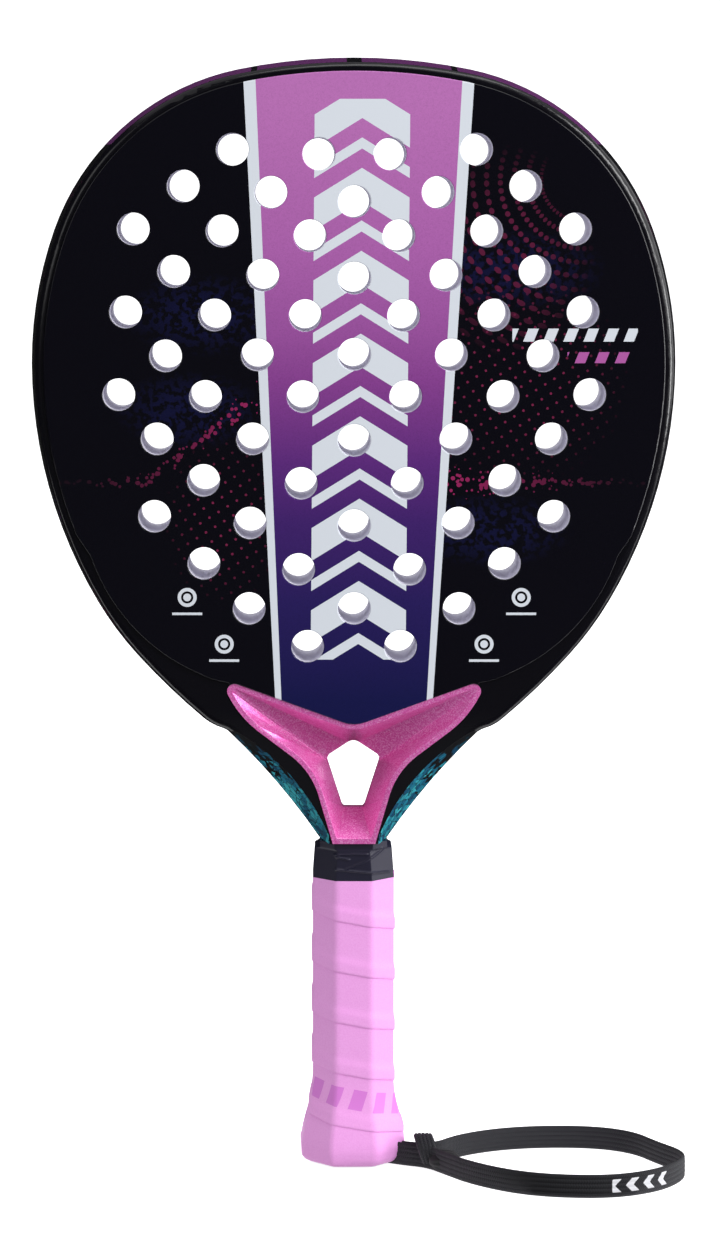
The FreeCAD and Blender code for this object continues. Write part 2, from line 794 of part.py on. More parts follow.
def make_insert(document, outlines, label, front):
    """Half of the throat insert: a flat rim, sunken facets and a window."""
    sizes = outlines.sizes
    outline = outlines.insert_points
    rim_level = -float(sizes.overall_depth / 2 - sizes.skin_thickness + sizes.insert_proud)
    web_level = -float(sizes.insert_web / 2)
    rim = inner_rim(outline, float(sizes.insert_rim))
    top_left = (-WINDOW_SHOULDER[0], WINDOW_SHOULDER[1])
    foot_left = (-WINDOW_FOOT[0], WINDOW_FOOT[1])
    top_radius, shoulder_radius, foot_radius = WINDOW_RADII
    top = window_corner(top_left, WINDOW_TOP, WINDOW_SHOULDER, top_radius)[WINDOW_STEPS // 2:]
    shoulder = window_corner(WINDOW_TOP, WINDOW_SHOULDER, WINDOW_FOOT, shoulder_radius)
    foot = window_corner(WINDOW_SHOULDER, WINDOW_FOOT, foot_left, foot_radius, WINDOW_FOOT_STEPS)

    def at(point, level):
        return Vector(point[0], level, point[1])

    window = top + shoulder + foot
    lip = Part.Face(mirrored_loop(outline, rim_level))
    faces = lip.cut(Part.Face(mirrored_loop(rim, rim_level))).Faces
    back = Part.Face(mirrored_loop(outline))
    faces += back.cut(Part.Face(mirrored_loop(window))).Faces
    faces += walls(mirrored_loop(outline, rim_level), -rim_level)
    faces += walls(mirrored_loop(window, web_level), -web_level)
    for facet in insert_facets(rim, top, shoulder, foot):
        for side in (1, -1):
            corners = []
            for point in facet:
                level = rim_level if point in rim else web_level
                corners.append(at((side * point[0], point[1]), level))
            faces.append(Part.Face(Part.makePolygon(corners + corners[:1])))
    low = at(rim[-1], rim_level)
    last = at(foot[-1], web_level)
    corners = [low, last, Vector(-last.x, last.y, last.z), Vector(-low.x, low.y, low.z)]
    faces.append(Part.Face(Part.makePolygon(corners + corners[:1])))
    skin = Part.makeCompound(faces)
    skin.sewShape()
    solid = Part.Solid(skin.Shells[0])
    if solid.Volume < 0:
        solid.reverse()
    if not front:
        solid = solid.mirror(Vector(0, 0, 0), Vector(0, 1, 0))
    return shape_feature(document, label, solid)


def walls(wire, depth):
    return [edge.extrude(Vector(0, depth, 0)) for edge in wire.Edges]


# ---------------------------------------------------------------- handle

def grip_sections(sizes, inset, heights):
    """Octagons of the handle at some heights, inset from the finished grip."""
    sections = []
    for height, share in heights:
        full = sizes.grip_width + (sizes.butt_width - sizes.grip_width) * share
        width = full - inset * 2
        bevel = full * BEVEL_SHARE - inset * 2 * CORNER_GROWTH
        sections.append((height, width, width + sizes.grip_depth_extra, bevel))
    return sections


def stacked_loft(document, name, sections):
    """A solid that runs through octagons at rising heights."""
    profiles = []
    for number, (height, width, depth, bevel) in enumerate(sections):
        sketch = document.addObject("Sketcher::SketchObject", f"{name}_{number}")
        draw_polygon(sketch, octagon(width, depth, bevel))
        bind(sketch, ".Placement.Base.z", height)
        profiles.append(sketch)
    loft = document.addObject("Part::Loft", name)
    loft.Sections = profiles
    loft.Solid = True
    loft.Ruled = True
    return loft


def flare_heights(sizes, low, high):
    """Section heights of the handle's flare, between two heights."""
    rows = [(Size(height, repr(height)), share) for height, share in BUTT_PROFILE]
    chosen = [row for row in rows if float(low) < float(row[0]) < float(high)]
    return [(low, share_at(float(low)))] + chosen + [(high, share_at(float(high)))]


def share_at(height):
    """The butt profile's share at any height."""
    rows = BUTT_PROFILE
    if height <= rows[0][0]:
        return rows[0][1]
    for (low, first), (high, last) in zip(rows, rows[1:]):
        if height <= high:
            return first + (last - first) * (height - low) / (high - low)
    return 0.0


def sleeve(document, label, sizes, inset, thickness, low, high, slot):
    """A tube of even thickness that follows the handle, notched for the cord."""
    heights = flare_heights(sizes, low, high)
    outer = stacked_loft(document, label + "_outer", grip_sections(sizes, inset, heights))
    inner = stacked_loft(document, label + "_inner", grip_sections(sizes, inset + thickness, heights))
    tube = cut(document, label + "_tube", outer, inner)
    return cut(document, label, tube, slot)


def make_handle(document, outlines):
    sizes = outlines.sizes
    layers = sizes.overgrip_thickness + sizes.base_grip_thickness
    slot = cord_slot(document, sizes)

    foam = box(document, "handle_foam_core", sizes.shaft_width - sizes.shaft_wall * 2,
               sizes.shaft_depth - sizes.shaft_wall * 2, sizes.shaft_bottom, sizes.pallet_top)
    pallets = [make_pallet(document, sizes, layers, label, front)
               for label, front in (("pallet_front", True), ("pallet_rear", False))]

    cap_block = stacked_loft(document, "cap_block", grip_sections(
        sizes, layers, flare_heights(sizes, NOTHING, sizes.pallet_bottom)))
    socket = box(document, "cap_socket", sizes.shaft_width, sizes.shaft_depth,
                 sizes.shaft_bottom, sizes.pallet_bottom + OVERRUN)
    well = document.addObject("Part::Cylinder", "cap_well")
    bind(well, "Radius", sizes.well_diameter / 2)
    bind(well, "Height", sizes.shaft_bottom)
    staples = make_staples(document, sizes)
    hollows = fuse(document, "cap_hollows", [socket, well, slot, staples])
    cap = cut(document, "butt_cap", cap_block, hollows)

    base = sleeve(document, "base_grip", sizes, sizes.overgrip_thickness, sizes.base_grip_thickness,
                  sizes.overgrip_lift, sizes.grip_top, slot)
    over = sleeve(document, "overgrip", sizes, NOTHING, sizes.overgrip_thickness,
                  sizes.overgrip_lift, sizes.grip_top, slot)
    tape = make_tape(document, sizes, layers)
    collar = make_collar(document, sizes, layers)
    return [foam] + pallets + [cap, staples, base, over, tape, collar]


def make_pallet(document, sizes, layers, label, front):
    """Half of the moulded shell that gives the handle its octagon."""
    body = new_body(document, label)
    sketch = new_sketch(body, label + "_outline", "XY_Plane", sizes.pallet_bottom)
    height, width, depth, bevel = grip_sections(sizes, layers, [(sizes.pallet_top, 0.0)])[0]
    side = -1 if front else 1
    x, y = width / 2, depth / 2 * side
    near_x, near_y = x - bevel, (depth / 2 - bevel) * side
    shaft_x, shaft_y = sizes.shaft_width / 2, sizes.shaft_depth / 2 * side
    draw_polygon(sketch, [
        (x, NOTHING), (x, near_y), (near_x, y), (-near_x, y), (-x, near_y), (-x, NOTHING),
        (-shaft_x, NOTHING), (-shaft_x, shaft_y), (shaft_x, shaft_y), (shaft_x, NOTHING)])
    new_pad(body, sketch, label + "_block", sizes.pallet_top - sizes.pallet_bottom)
    return body


def cord_slot(document, sizes):
    """Upright slot from the well in the butt out through its lower corner."""
    leaving, returning = CORD_ROUTE[1], CORD_ROUTE[-2]
    aim = math.degrees(math.atan2(leaving[1] + returning[1], leaving[0] + returning[0]))
    slot = document.addObject("Part::Box", "cord_slot")
    bind(slot, "Length", sizes.butt_width)
    bind(slot, "Width", sizes.cord_slot_width)
    bind(slot, "Height", sizes.cord_slot_height)
    turn = Rotation(Vector(0, 0, 1), aim)
    slot.Placement = Placement(turn.multVec(Vector(0, -float(sizes.cord_slot_width / 2), 0)), turn)
    return slot


def make_staples(document, sizes):
    """Two wire staples that hold the cap to the shaft, left and right."""
    wire = float(sizes.staple_wire)
    width = float(sizes.staple_width)
    leg = float(sizes.staple_leg)
    skin = float(sizes.shaft_width / 2)
    height = float(sizes.pallet_bottom) - STAPLE_DROP
    solids = []
    for side in (-1, 1):
        staple = Part.makeBox(wire, width, wire, Vector(-wire / 2, -width / 2, -wire / 2))
        staple.translate(Vector(side * (skin + leg), 0, height))
        for end in (-1, 1):
            prong = Part.makeBox(leg, wire, wire, Vector(-leg / 2, -wire / 2, -wire / 2))
            prong.translate(Vector(side * (skin + leg / 2), end * (width - wire) / 2, height))
            staple = staple.fuse(prong)
        solids.append(staple.removeSplitter())
    return shape_feature(document, "cap_staples", Part.makeCompound(solids))


def make_tape(document, sizes, layers):
    """Finishing tape round the top of the pallets, under the collar."""
    heights = [(sizes.grip_top, 0.0), (sizes.grip_top + sizes.tape_height, 0.0)]
    outer = stacked_loft(document, "tape_outer", grip_sections(sizes, layers - sizes.tape_thickness, heights))
    inner = stacked_loft(document, "tape_inner", grip_sections(sizes, layers, heights))
    return cut(document, "finishing_tape", outer, inner)


def make_collar(document, sizes, layers):
    """Rubber collar that hides the top of the grip and hugs the neck."""
    lip_low = sizes.neck_height - sizes.collar_lip_height
    extra = sizes.stub_depth - sizes.stub_width
    corner = sizes.stub_corner + (sizes.collar_lip_width - sizes.stub_width) * CORNER_GROWTH
    body_bevel = sizes.grip_width * BEVEL_SHARE
    top_depth = sizes.collar_top_width + sizes.grip_depth_extra
    outer = stacked_loft(document, "collar_outer", [
        (sizes.grip_top, sizes.grip_width, sizes.grip_width + sizes.grip_depth_extra, body_bevel),
        (lip_low - LIP_SLOPE, sizes.collar_top_width, top_depth, body_bevel),
        (lip_low, sizes.collar_lip_width, sizes.collar_lip_width + extra, corner),
        (sizes.neck_height, sizes.collar_lip_width, sizes.collar_lip_width + extra, corner)])
    heights = [(sizes.grip_top, 0.0), (sizes.pallet_top, 0.0)]
    seat = stacked_loft(document, "collar_seat", grip_sections(sizes, layers - sizes.tape_thickness, heights))
    stub = neck_stub(document, sizes, "collar_bore")
    return cut(document, "rubber_collar", outer, fuse(document, "collar_hollow", [seat, stub]))


# ---------------------------------------------------------------- wrist cord

def cord_pieces():
    """Straight runs and tangent arcs of the cord's route, in order."""
    points = [Vector(x, y, 0) for x, y in CORD_ROUTE]
    pieces = []
    start = points[0]
    for before, corner, after in zip(points, points[1:], points[2:]):
        inward, outward = before - corner, after - corner
        half = (math.pi - inward.getAngle(outward)) / 2
        back = BEND_SHARE * min(inward.Length, outward.Length)
        radius = back / math.tan(half)
        first = corner + inward.normalize() * back
        last = corner + outward.normalize() * back
        peak = corner + (inward + outward).normalize() * (radius / math.cos(half) - radius)
        pieces.append((start, first))
        pieces.append((first, peak, last))
        print(f"cord bend at {corner.x:.0f}, {corner.y:.0f}: radius {radius:.1f} mm")
        start = last
    pieces.append((start, points[-1]))
    return pieces


def cord_ribbon(sizes):
    """The flat cord on its edge, as thick as it is along the whole route."""
    half = float(sizes.cord_thickness / 2)
    height = Vector(0, 0, float(sizes.cord_width))
    edges = []
    for piece in cord_pieces():
        edges.append(Part.makeLine(*piece) if len(piece) == 2 else Part.Arc(*piece).toShape())
    path = Part.Wire(edges)
    start = edges[0].valueAt(edges[0].FirstParameter)
    heading = edges[0].tangentAt(edges[0].FirstParameter)
    side = Vector(-heading.y, heading.x, 0) * half
    corners = [start + side, start - side, start - side + height, start + side + height, start + side]
    ribbon = path.makePipeShell([Part.makePolygon(corners)], True, False)
    expected = path.Length * float(sizes.cord_thickness) * float(sizes.cord_width)
    print(f"cord {path.Length:.0f} mm long, volume {ribbon.Volume / expected:.4f} of section times length")
    return ribbon


def rounded_block(size, centre, low, radius):
    """A block with a flat foot and every other edge rounded."""
    block = Part.makeBox(*size, Vector(-size[0] / 2, -size[1] / 2, 0))
    block = block.makeFillet(radius, [edge for edge in block.Edges if edge.BoundBox.ZMax > radius])
    block.translate(Vector(centre[0], centre[1], low))
    return block


def make_cord(document, sizes):
    ribbon = cord_ribbon(sizes)
    knot = rounded_block(KNOT_SIZE, KNOT_CENTRE, 0.0, KNOT_ROUNDING)
    tail = rounded_block(TAIL_KNOT_SIZE, (0.0, 0.0), TAIL_KNOT_LIFT, TAIL_KNOT_ROUNDING)
    cord = shape_feature(document, "wrist_cord", ribbon.cut([knot, tail]))
    return [cord, shape_feature(document, "cord_knot", knot), shape_feature(document, "cord_tail_knot", tail)]


# ---------------------------------------------------------------- whole racket

def check(document, parts):
    for item in document.Objects:
        faults = {"Invalid", "Error"} & set(item.State)
        if faults:
            raise RuntimeError(f"{item.Label}: {item.getStatusString()}")
    for part in parts:
        if part.Shape.isNull() or not part.Shape.isValid() or not part.Shape.Solids:
            raise RuntimeError(f"{part.Label} has no sound solid")


def export(parts):
    os.makedirs("parts", exist_ok=True)
    for part in parts:
        part.Shape.exportStep(f"parts/{part.Label}.step")
        print(f"{part.Label}: {len(part.Shape.Solids)} solid(s), {part.Shape.Volume / 1000:.2f} cm3")


def main():
    document = FreeCAD.newDocument("padel_racket")
    sizes = Sizes(document)
    outlines = Outlines(sizes)
    parts = [
        make_frame_hoop(document, outlines),
        make_throat_bridge(document, outlines),
        make_eva_core(document, outlines),
        make_face_plate(document, outlines, "front_face", True),
        make_face_plate(document, outlines, "rear_face", False),
        make_insert(document, outlines, "heart_front", True),
        make_insert(document, outlines, "heart_rear", False),
    ]
    parts += make_handle(document, outlines)
    parts += make_cord(document, sizes)
    document.recompute()
    check(document, parts)
    export(parts)


main()
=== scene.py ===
# %% [markdown]
# # Finishing a padel racket
# The racket arrives as measured bodies: a hollow carbon frame, a foam core between two thin faces,
# a moulded insert in the throat, and a handle built up in layers. This lesson gives each of them the
# finish that it has in the hand, and models again the soft pieces that plain bodies can't show: the
# wound overgrip, the rubber collar and the braided wrist strap.
# Every piece is made in place, in metres, so nothing has to be fitted afterwards.

# %% Load the measured racket
import math

import bmesh
import bpy
from mathutils import Matrix, Vector
from mathutils.bvhtree import BVHTree


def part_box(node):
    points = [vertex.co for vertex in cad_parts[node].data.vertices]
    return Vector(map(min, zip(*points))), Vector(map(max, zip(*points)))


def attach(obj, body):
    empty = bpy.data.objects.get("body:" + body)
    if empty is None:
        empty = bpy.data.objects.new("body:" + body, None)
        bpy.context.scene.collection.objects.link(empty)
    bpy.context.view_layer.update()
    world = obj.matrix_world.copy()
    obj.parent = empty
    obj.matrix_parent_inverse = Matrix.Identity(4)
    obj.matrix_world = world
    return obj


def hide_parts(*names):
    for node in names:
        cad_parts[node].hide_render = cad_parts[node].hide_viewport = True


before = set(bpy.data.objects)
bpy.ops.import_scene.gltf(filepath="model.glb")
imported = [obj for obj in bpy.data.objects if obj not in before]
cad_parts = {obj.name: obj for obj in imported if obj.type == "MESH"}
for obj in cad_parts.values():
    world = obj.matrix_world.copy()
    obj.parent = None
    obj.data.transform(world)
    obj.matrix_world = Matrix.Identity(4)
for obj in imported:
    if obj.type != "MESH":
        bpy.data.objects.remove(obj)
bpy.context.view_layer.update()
MM = 0.001

# %% [markdown]
# ## The camera
# A long lens shows a flat, wide object like a racket without stretching it. The camera stands a metre
# and a half in front, at the height of the upper holes, so that the air holes show more of their walls
# the further they are from it. It is tipped down a little, and the rest of the framing is lens shift.

# %% Stand the camera
CAMERA_PLACE = Vector((-26, -1519, 399.4)) * MM
CAMERA_PITCH = math.radians(2.72)
FOCAL_LENGTH = 107.6
LENS_SHIFT = (0.0562, -0.2184)
scene = bpy.context.scene


def put_in_scene(name, data):
    """Links an object with that data to the scene."""
    made = bpy.data.objects.new(name, data)
    scene.collection.objects.link(made)
    return made


lens = bpy.data.cameras.new("camera")
lens.sensor_width = 36.0
lens.lens = FOCAL_LENGTH
lens.shift_x, lens.shift_y = LENS_SHIFT
camera = put_in_scene("camera", lens)
camera.location = CAMERA_PLACE
camera.rotation_euler = (math.radians(90) - CAMERA_PITCH, 0, 0)
scene.camera = camera
scene.view_settings.view_transform = "Standard"
print("The camera is", round(CAMERA_PLACE.length, 2), "m from the butt")

# %% [markdown]
# ## The strap's line
# The wrist strap is one flat braid that leaves the butt, passes through a knot, goes round its loop
# and comes back through the same knot. It stands on its edge on the table. Its line could be drawn as
# many short straight runs, but a braid bends smoothly, so it is one NURBS spline, read back as points.

# %% Draw the strap's line
STRAP_WIDTH = 9.3
STRAP_THICKNESS = 1.4
STRAP_ROUTE = (
    (5.4, -2.4), (19.3, -12.0), (32.0, -15.2), (42.5, -1.0), (60.0, 9.5),
    (80.0, 13.5), (101.0, 12.0), (115.0, 3.5), (122.5, -11.5), (132.5, -27.5),
    (130.0, -39.5), (119.5, -54.0), (101.5, -63.5), (80.0, -63.0),
    (62.5, -57.0), (46.0, -43.0), (36.5, -29.0), (29.5, -17.8),
    (18.2, -13.7), (4.2, -4.1),
)
STEPS_PER_SPAN = 20


def spline_points(route, height):
    """Points along one smooth NURBS line through the table-plan route, at that height."""
    curve = bpy.data.curves.new("strap_line", "CURVE")
    curve.dimensions = "3D"
    curve.resolution_u = STEPS_PER_SPAN
    spline = curve.splines.new("NURBS")
    spline.points.add(len(route) - 1)
    for point, (x, y) in zip(spline.points, route):
        point.co = (x * MM, y * MM, height * MM, 1.0)
    spline.order_u = 3
    spline.use_endpoint_u = True
    holder = put_in_scene("strap_line", curve)
    line = bpy.data.meshes.new_from_object(holder)
    points = [vert.co.copy() for vert in line.vertices]
    bpy.data.meshes.remove(line)
    bpy.data.objects.remove(holder)
    bpy.data.curves.remove(curve)
    return points


strap_line = spline_points(STRAP_ROUTE, STRAP_WIDTH / 2)
strap_length = sum((b - a).length for a, b in zip(strap_line, strap_line[1:]))
print("The strap's line is", round(strap_length / MM, 1), "mm long, of", len(strap_line), "points")

# %% [markdown]
# ## Pieces from a grid
# Tape, rubber and braid are all sheets that follow something. A flat grid is made by one operator, and
# each of its points is then carried to its place by a rule, which keeps the rows in line with the
# piece, as they are on the real one. The grid's own position, in millimetres, is kept as UV, so that
# weave and print can follow the piece too.

# %% A grid that is carried into place
def carried_grid(columns, rows, carry, spread=(1.0, 1.0)):
    """A bmesh grid whose point (u, v), each 0 to 1, goes to carry(u, v). UVs are u and v times spread."""
    shape = bmesh.new()
    layer = shape.loops.layers.uv.new("UVMap")
    bmesh.ops.create_grid(shape, x_segments=columns, y_segments=rows, size=0.5)
    for face in shape.faces:
        for corner in face.loops:
            flat = corner.vert.co
            corner[layer].uv = ((flat.x + 0.5) * spread[0], (flat.y + 0.5) * spread[1])
    for vert in shape.verts:
        vert.co = carry(vert.co.x + 0.5, vert.co.y + 0.5)
    return shape


def close_up(shape):
    """Merges doubled points, closes what is still open and turns the faces outwards."""
    bmesh.ops.remove_doubles(shape, verts=shape.verts, dist=0.01 * MM)
    open_edges = [edge for edge in shape.edges if edge.is_boundary]
    if open_edges:
        bmesh.ops.holes_fill(shape, edges=open_edges, sides=0)
    bmesh.ops.recalc_face_normals(shape, faces=shape.faces)


def make_piece(name, shape, slot, *nodes, crease=180):
    """Makes the bmesh a piece that rides on the racket in place of those bodies."""
    mesh = bpy.data.meshes.new(name)
    shape.to_mesh(mesh)
    shape.free()
    mesh.shade_smooth()
    mesh.set_sharp_from_angle(angle=math.radians(crease))
    piece = put_in_scene(name, mesh)
    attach(piece, "root")
    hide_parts(*nodes)
    print(name, "has", len(mesh.polygons), "faces")
    return piece


# %% [markdown]
# ## The flat braid
# The strap is a flat tubular braid: five cords lie side by side under one cover, so that it has
# lengthwise ribs. It could be a plain ribbon with a bump map, but its edges are seen from above, so the
# ribs are real: the section is a flat oval whose thickness swells at each rib.

# %% Weave the strap
STRAP_RIBS = 5
RIB_DEPTH = 0.34
RIB_FULLNESS = 0.6
EDGE_FULLNESS = 5
ROUND_STEPS = 80


def braid_section(turn, width, thickness):
    """A point on the braid's outline, (across, out), for a turn from 0 to 1."""
    side = 1.0 if turn < 0.5 else -1.0
    share = turn * 2 if turn < 0.5 else 2 - turn * 2
    rounding = math.sqrt(max(0.0, 1 - abs(2 * share - 1) ** EDGE_FULLNESS))
    rib = 1 - RIB_DEPTH * (1 - abs(math.sin(math.pi * STRAP_RIBS * share)) ** RIB_FULLNESS)
    return (share - 0.5) * width, side * thickness / 2 * rounding * rib


def along(line, share):
    """The point and the level direction of a line of points, at a share of its list."""
    place = min(share, 0.999999) * (len(line) - 1)
    first = int(place)
    before, after = line[max(first - 1, 0)], line[min(first + 2, len(line) - 1)]
    point = line[first].lerp(line[first + 1], place - first)
    return point, (after - before).normalized()


def carry_strap(u, v):
    """Stands the braid on its edge along the strap's line."""
    point, heading = along(strap_line, u)
    across, out = braid_section(v, STRAP_WIDTH, STRAP_THICKNESS)
    sideways = Vector((-heading.y, heading.x, 0))
    return point + sideways * out * MM + Vector((0, 0, across * MM))


strap_spread = (strap_length / MM, 2 * STRAP_WIDTH)
strap_shape = carried_grid(len(strap_line) - 1, ROUND_STEPS, carry_strap, strap_spread)
close_up(strap_shape)
wrist_strap = make_piece("wrist_strap", strap_shape, "black_braid", "wrist_cord")

# %% [markdown]
# ## The knot
# The two ends of the loop pass through one turn of the same braid, pulled tight. It could be one lump,
# but what the eye reads as a knot is a band that crosses over the strands, with its ribs across theirs,
# and the roll of braid that it squeezes out. So it is two shapes: a band on a tilted oval, and a roll.

# %% Tie the knot
knot_low, knot_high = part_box("cord_knot")
knot_middle = (knot_low + knot_high) / 2
BAND_WIDTH = 7.6
BAND_THICKNESS = 2.2
BAND_TILT = math.radians(-24)
BAND_REACH = Vector((0, 4.6, 5.6))
BAND_OFFSET = Vector((-2.6, -0.2, 0.5))
BAND_SKEW = 0.6
BAND_GIRTH = 34.0
BAND_GRID = (72, 60)


def carry_band(u, v):
    """Wraps the braid round the strands, on an oval that leans along them."""
    turn = 2 * math.pi * u
    ring = Vector((0, BAND_REACH.y * math.cos(turn), BAND_REACH.z * math.sin(turn)))
    out_way = Vector((0, math.cos(turn), math.sin(turn)))
    across, out = braid_section(v, BAND_WIDTH, BAND_THICKNESS)
    lean = ring.z * math.tan(BAND_TILT)
    local = ring + out_way * out + Vector((across + lean + BAND_SKEW * math.sin(turn), 0, 0))
    return knot_middle + (local + BAND_OFFSET) * MM


knot_shape = carried_grid(*BAND_GRID, carry_band, (BAND_GIRTH, 2 * BAND_WIDTH))
close_up(knot_shape)
ROLL_REACH = Vector((6.4, 5.4, 4.0))
ROLL_OFFSET = Vector((4.0, -5.6, -2.5))
RIDGE_HEIGHT = 0.05
RIDGE_TWIST = 2.4
roll = bmesh.ops.create_uvsphere(knot_shape, u_segments=48, v_segments=32, radius=1.0)["verts"]
for vert in roll:
    round_roll = 2 * math.atan2(vert.co.z, vert.co.y)
    swell = 1 + RIDGE_HEIGHT * math.sin(STRAP_RIBS * round_roll + RIDGE_TWIST * vert.co.x)
    local = vert.co * ROLL_REACH
    local.yz *= swell
    vert.co = knot_middle + (local + ROLL_OFFSET) * MM
    vert.co.z = max(vert.co.z, 0.0)
strap_knot = make_piece("strap_knot", knot_shape, "black_braid", "cord_knot")

# %% [markdown]
# Both ends of the strap go back into the hollow of the butt, where a second knot holds them.

# %% [markdown]
# ## The studio
# The racket stands on a pale sweep that rises all round it, as a photographer's paper does, so that no
# edge shows behind it from any side. Glossy lacquer shows whatever stands in front of it, and in a white
# room a black face would look grey. So a dark card stands before each face and one on the left, as a
# photographer's flags do. Only reflections see them, and what faces right still mirrors the pale paper.

# %% Build the sweep and hang the lights
SWEEP_RADIUS = 5.0
SWEEP_HEIGHT = 4.0
SWEEP_CURVE = 1.6
SWEEP_DROP = 0.2 * MM
sweep_shape = bmesh.new()
corners = ((0, 0, 0), (SWEEP_RADIUS, 0, 0), (SWEEP_RADIUS, 0, SWEEP_HEIGHT))
profile = [sweep_shape.verts.new(corner) for corner in corners]
profile_edges = [sweep_shape.edges.new(pair) for pair in zip(profile, profile[1:])]
bmesh.ops.spin(
    sweep_shape, geom=profile + profile_edges, cent=(0, 0, 0), axis=(0, 0, 1), dvec=(0, 0, 0),
    angle=2 * math.pi, steps=96, use_merge=True, use_duplicate=False,
)
bmesh.ops.remove_doubles(sweep_shape, verts=sweep_shape.verts, dist=MM)
foot_ring = [
    edge for edge in sweep_shape.edges
    if all(abs(v.co.z) < MM and v.co.xy.length > SWEEP_RADIUS - MM for v in edge.verts)
]
bmesh.ops.bevel(
    sweep_shape, geom=foot_ring, offset=SWEEP_CURVE, offset_type="OFFSET", affect="EDGES", segments=16,
    profile=0.5, material=-1,
)
bmesh.ops.recalc_face_normals(sweep_shape, faces=sweep_shape.faces)
bmesh.ops.reverse_faces(sweep_shape, faces=sweep_shape.faces)
bmesh.ops.translate(sweep_shape, verts=sweep_shape.verts, vec=(0, 0, -SWEEP_DROP))
sweep_mesh = bpy.data.meshes.new("paper_sweep")
sweep_shape.to_mesh(sweep_mesh)
sweep_shape.free()
sweep_mesh.shade_smooth()
sweep = put_in_scene("paper_sweep", sweep_mesh)
sweep.visible_diffuse = False
sweep.visible_shadow = False

FLAG_WIDTH = 4.4
FLAG_HEIGHT = 3.0
FLAG_DISTANCE = 2.2
FLAG_RUN = 2.14
SIDE_RUN = 1.2


def stand_flag(name, turn, run):
    """A dark card beside the racket, and its foot along the floor. Only reflections see it."""
    shape = bmesh.new()
    bmesh.ops.create_grid(shape, x_segments=1, y_segments=1, size=0.5)
    for vert in shape.verts:
        height = (vert.co.y + 0.5) * FLAG_HEIGHT + MM
        vert.co = (vert.co.x * FLAG_WIDTH, -FLAG_DISTANCE, height)
    foot = [edge for edge in shape.edges if all(v.co.z < 2 * MM for v in edge.verts)]
    laid = bmesh.ops.extrude_edge_only(shape, edges=foot)["geom"]
    laid_verts = [item for item in laid if isinstance(item, bmesh.types.BMVert)]
    bmesh.ops.translate(shape, verts=laid_verts, vec=(0, run, 0))
    bmesh.ops.rotate(shape, verts=shape.verts, cent=(0, 0, 0), matrix=Matrix.Rotation(turn, 3, "Z"))
    mesh = bpy.data.meshes.new(name)
    shape.to_mesh(mesh)
    shape.free()
    flag = put_in_scene(name, mesh)
    flag.visible_camera = False
    flag.visible_diffuse = False
    flag.visible_shadow = False
    return flag


flags = [
    stand_flag("front_flag", 0.0, FLAG_RUN),
    stand_flag("rear_flag", math.pi, FLAG_RUN),
    stand_flag("side_flag", -math.pi / 2, SIDE_RUN),
]

AIM = Vector((0, 0, 240)) * MM
ROOM_GLOW = 0.5


def hang_soft_box(name, place, size, power, mirrored=True):
    """A soft light at a place, in metres, turned to the racket. The lacquer mirrors only some."""
    light = bpy.data.lights.new(name, "AREA")
    light.shape = "RECTANGLE"
    light.size, light.size_y = size
    light.energy = power
    box = put_in_scene(name, light)
    box.location = place
    box.rotation_euler = (AIM - Vector(place)).to_track_quat("-Z", "Y").to_euler()
    box.visible_glossy = mirrored


hang_soft_box("key_box", (1.6, -1.25, 1.3), (0.7, 1.3), 26)
hang_soft_box("side_box", (1.5, -0.35, 0.3), (0.4, 0.6), 8)
hang_soft_box("fill_box", (-1.6, -1.9, 1.1), (1.0, 1.2), 5)
hang_soft_box("top_box", (0.3, -0.35, 2.0), (1.4, 0.5), 6)
hang_soft_box("rim_box", (1.4, 0.7, 0.8), (0.3, 1.4), 6, mirrored=False)
hang_soft_box("back_box", (-1.2, 1.9, 1.3), (1.4, 1.2), 12, mirrored=False)
room = bpy.data.worlds.new("dim_room")
room.use_nodes = True
room.node_tree.nodes["Background"].inputs["Color"].default_value = (1.0, 1.0, 1.0, 1.0)
room.node_tree.nodes["Background"].inputs["Strength"].default_value = ROOM_GLOW
scene.world = room
print("The sweep is", SWEEP_RADIUS, "m across its foot's radius, with six soft boxes")

# %% [markdown]
# ## Building a finish
# Every finish is a small net of nodes. Colours are written as they are on a screen, in hex, and one
# function turns them to the linear light that a shader works in. One function adds a node with its
# settings and links. Pattern sizes are millimetres on the real piece.

# %% Colour, nodes and scale
def linear(hex_colour):
    """The linear RGBA of an sRGB hex colour."""
    channels = [int(hex_colour[i:i + 2], 16) / 255 for i in (1, 3, 5)]
    return [c / 12.92 if c <= 0.04045 else ((c + 0.055) / 1.055) ** 2.4 for c in channels] + [1.0]


def add(finish, kind, inputs=(), **settings):
    """Adds a shader node. Inputs are values, sockets, or nodes whose first output is used."""
    node = finish.node_tree.nodes.new("ShaderNode" + kind)
    for name, value in settings.items():
        setattr(node, name, value)
    for key, value in (inputs.items() if isinstance(inputs, dict) else enumerate(inputs)):
        if isinstance(value, bpy.types.Node):
            value = value.outputs[0]
        if isinstance(value, bpy.types.NodeSocket):
            finish.node_tree.links.new(value, node.inputs[key])
        else:
            node.inputs[key].default_value = value
    return node


def start_finish(name, **surface):
    """A new finish with its shader, and the place on the piece in millimetres."""
    finish = bpy.data.materials.new(name)
    finish.use_nodes = True
    finish.node_tree.nodes.clear()
    inputs = {}
    for key, value in surface.items():
        inputs[key.replace("_", " ").title().replace("Ior", "IOR")] = value
    shader = add(finish, "BsdfPrincipled", inputs)
    add(finish, "OutputMaterial", [shader])
    metres = add(finish, "TexCoord").outputs["Object"]
    place = add(finish, "VectorMath", {0: metres, "Scale": 1 / MM}, operation="SCALE")
    return finish, shader, place


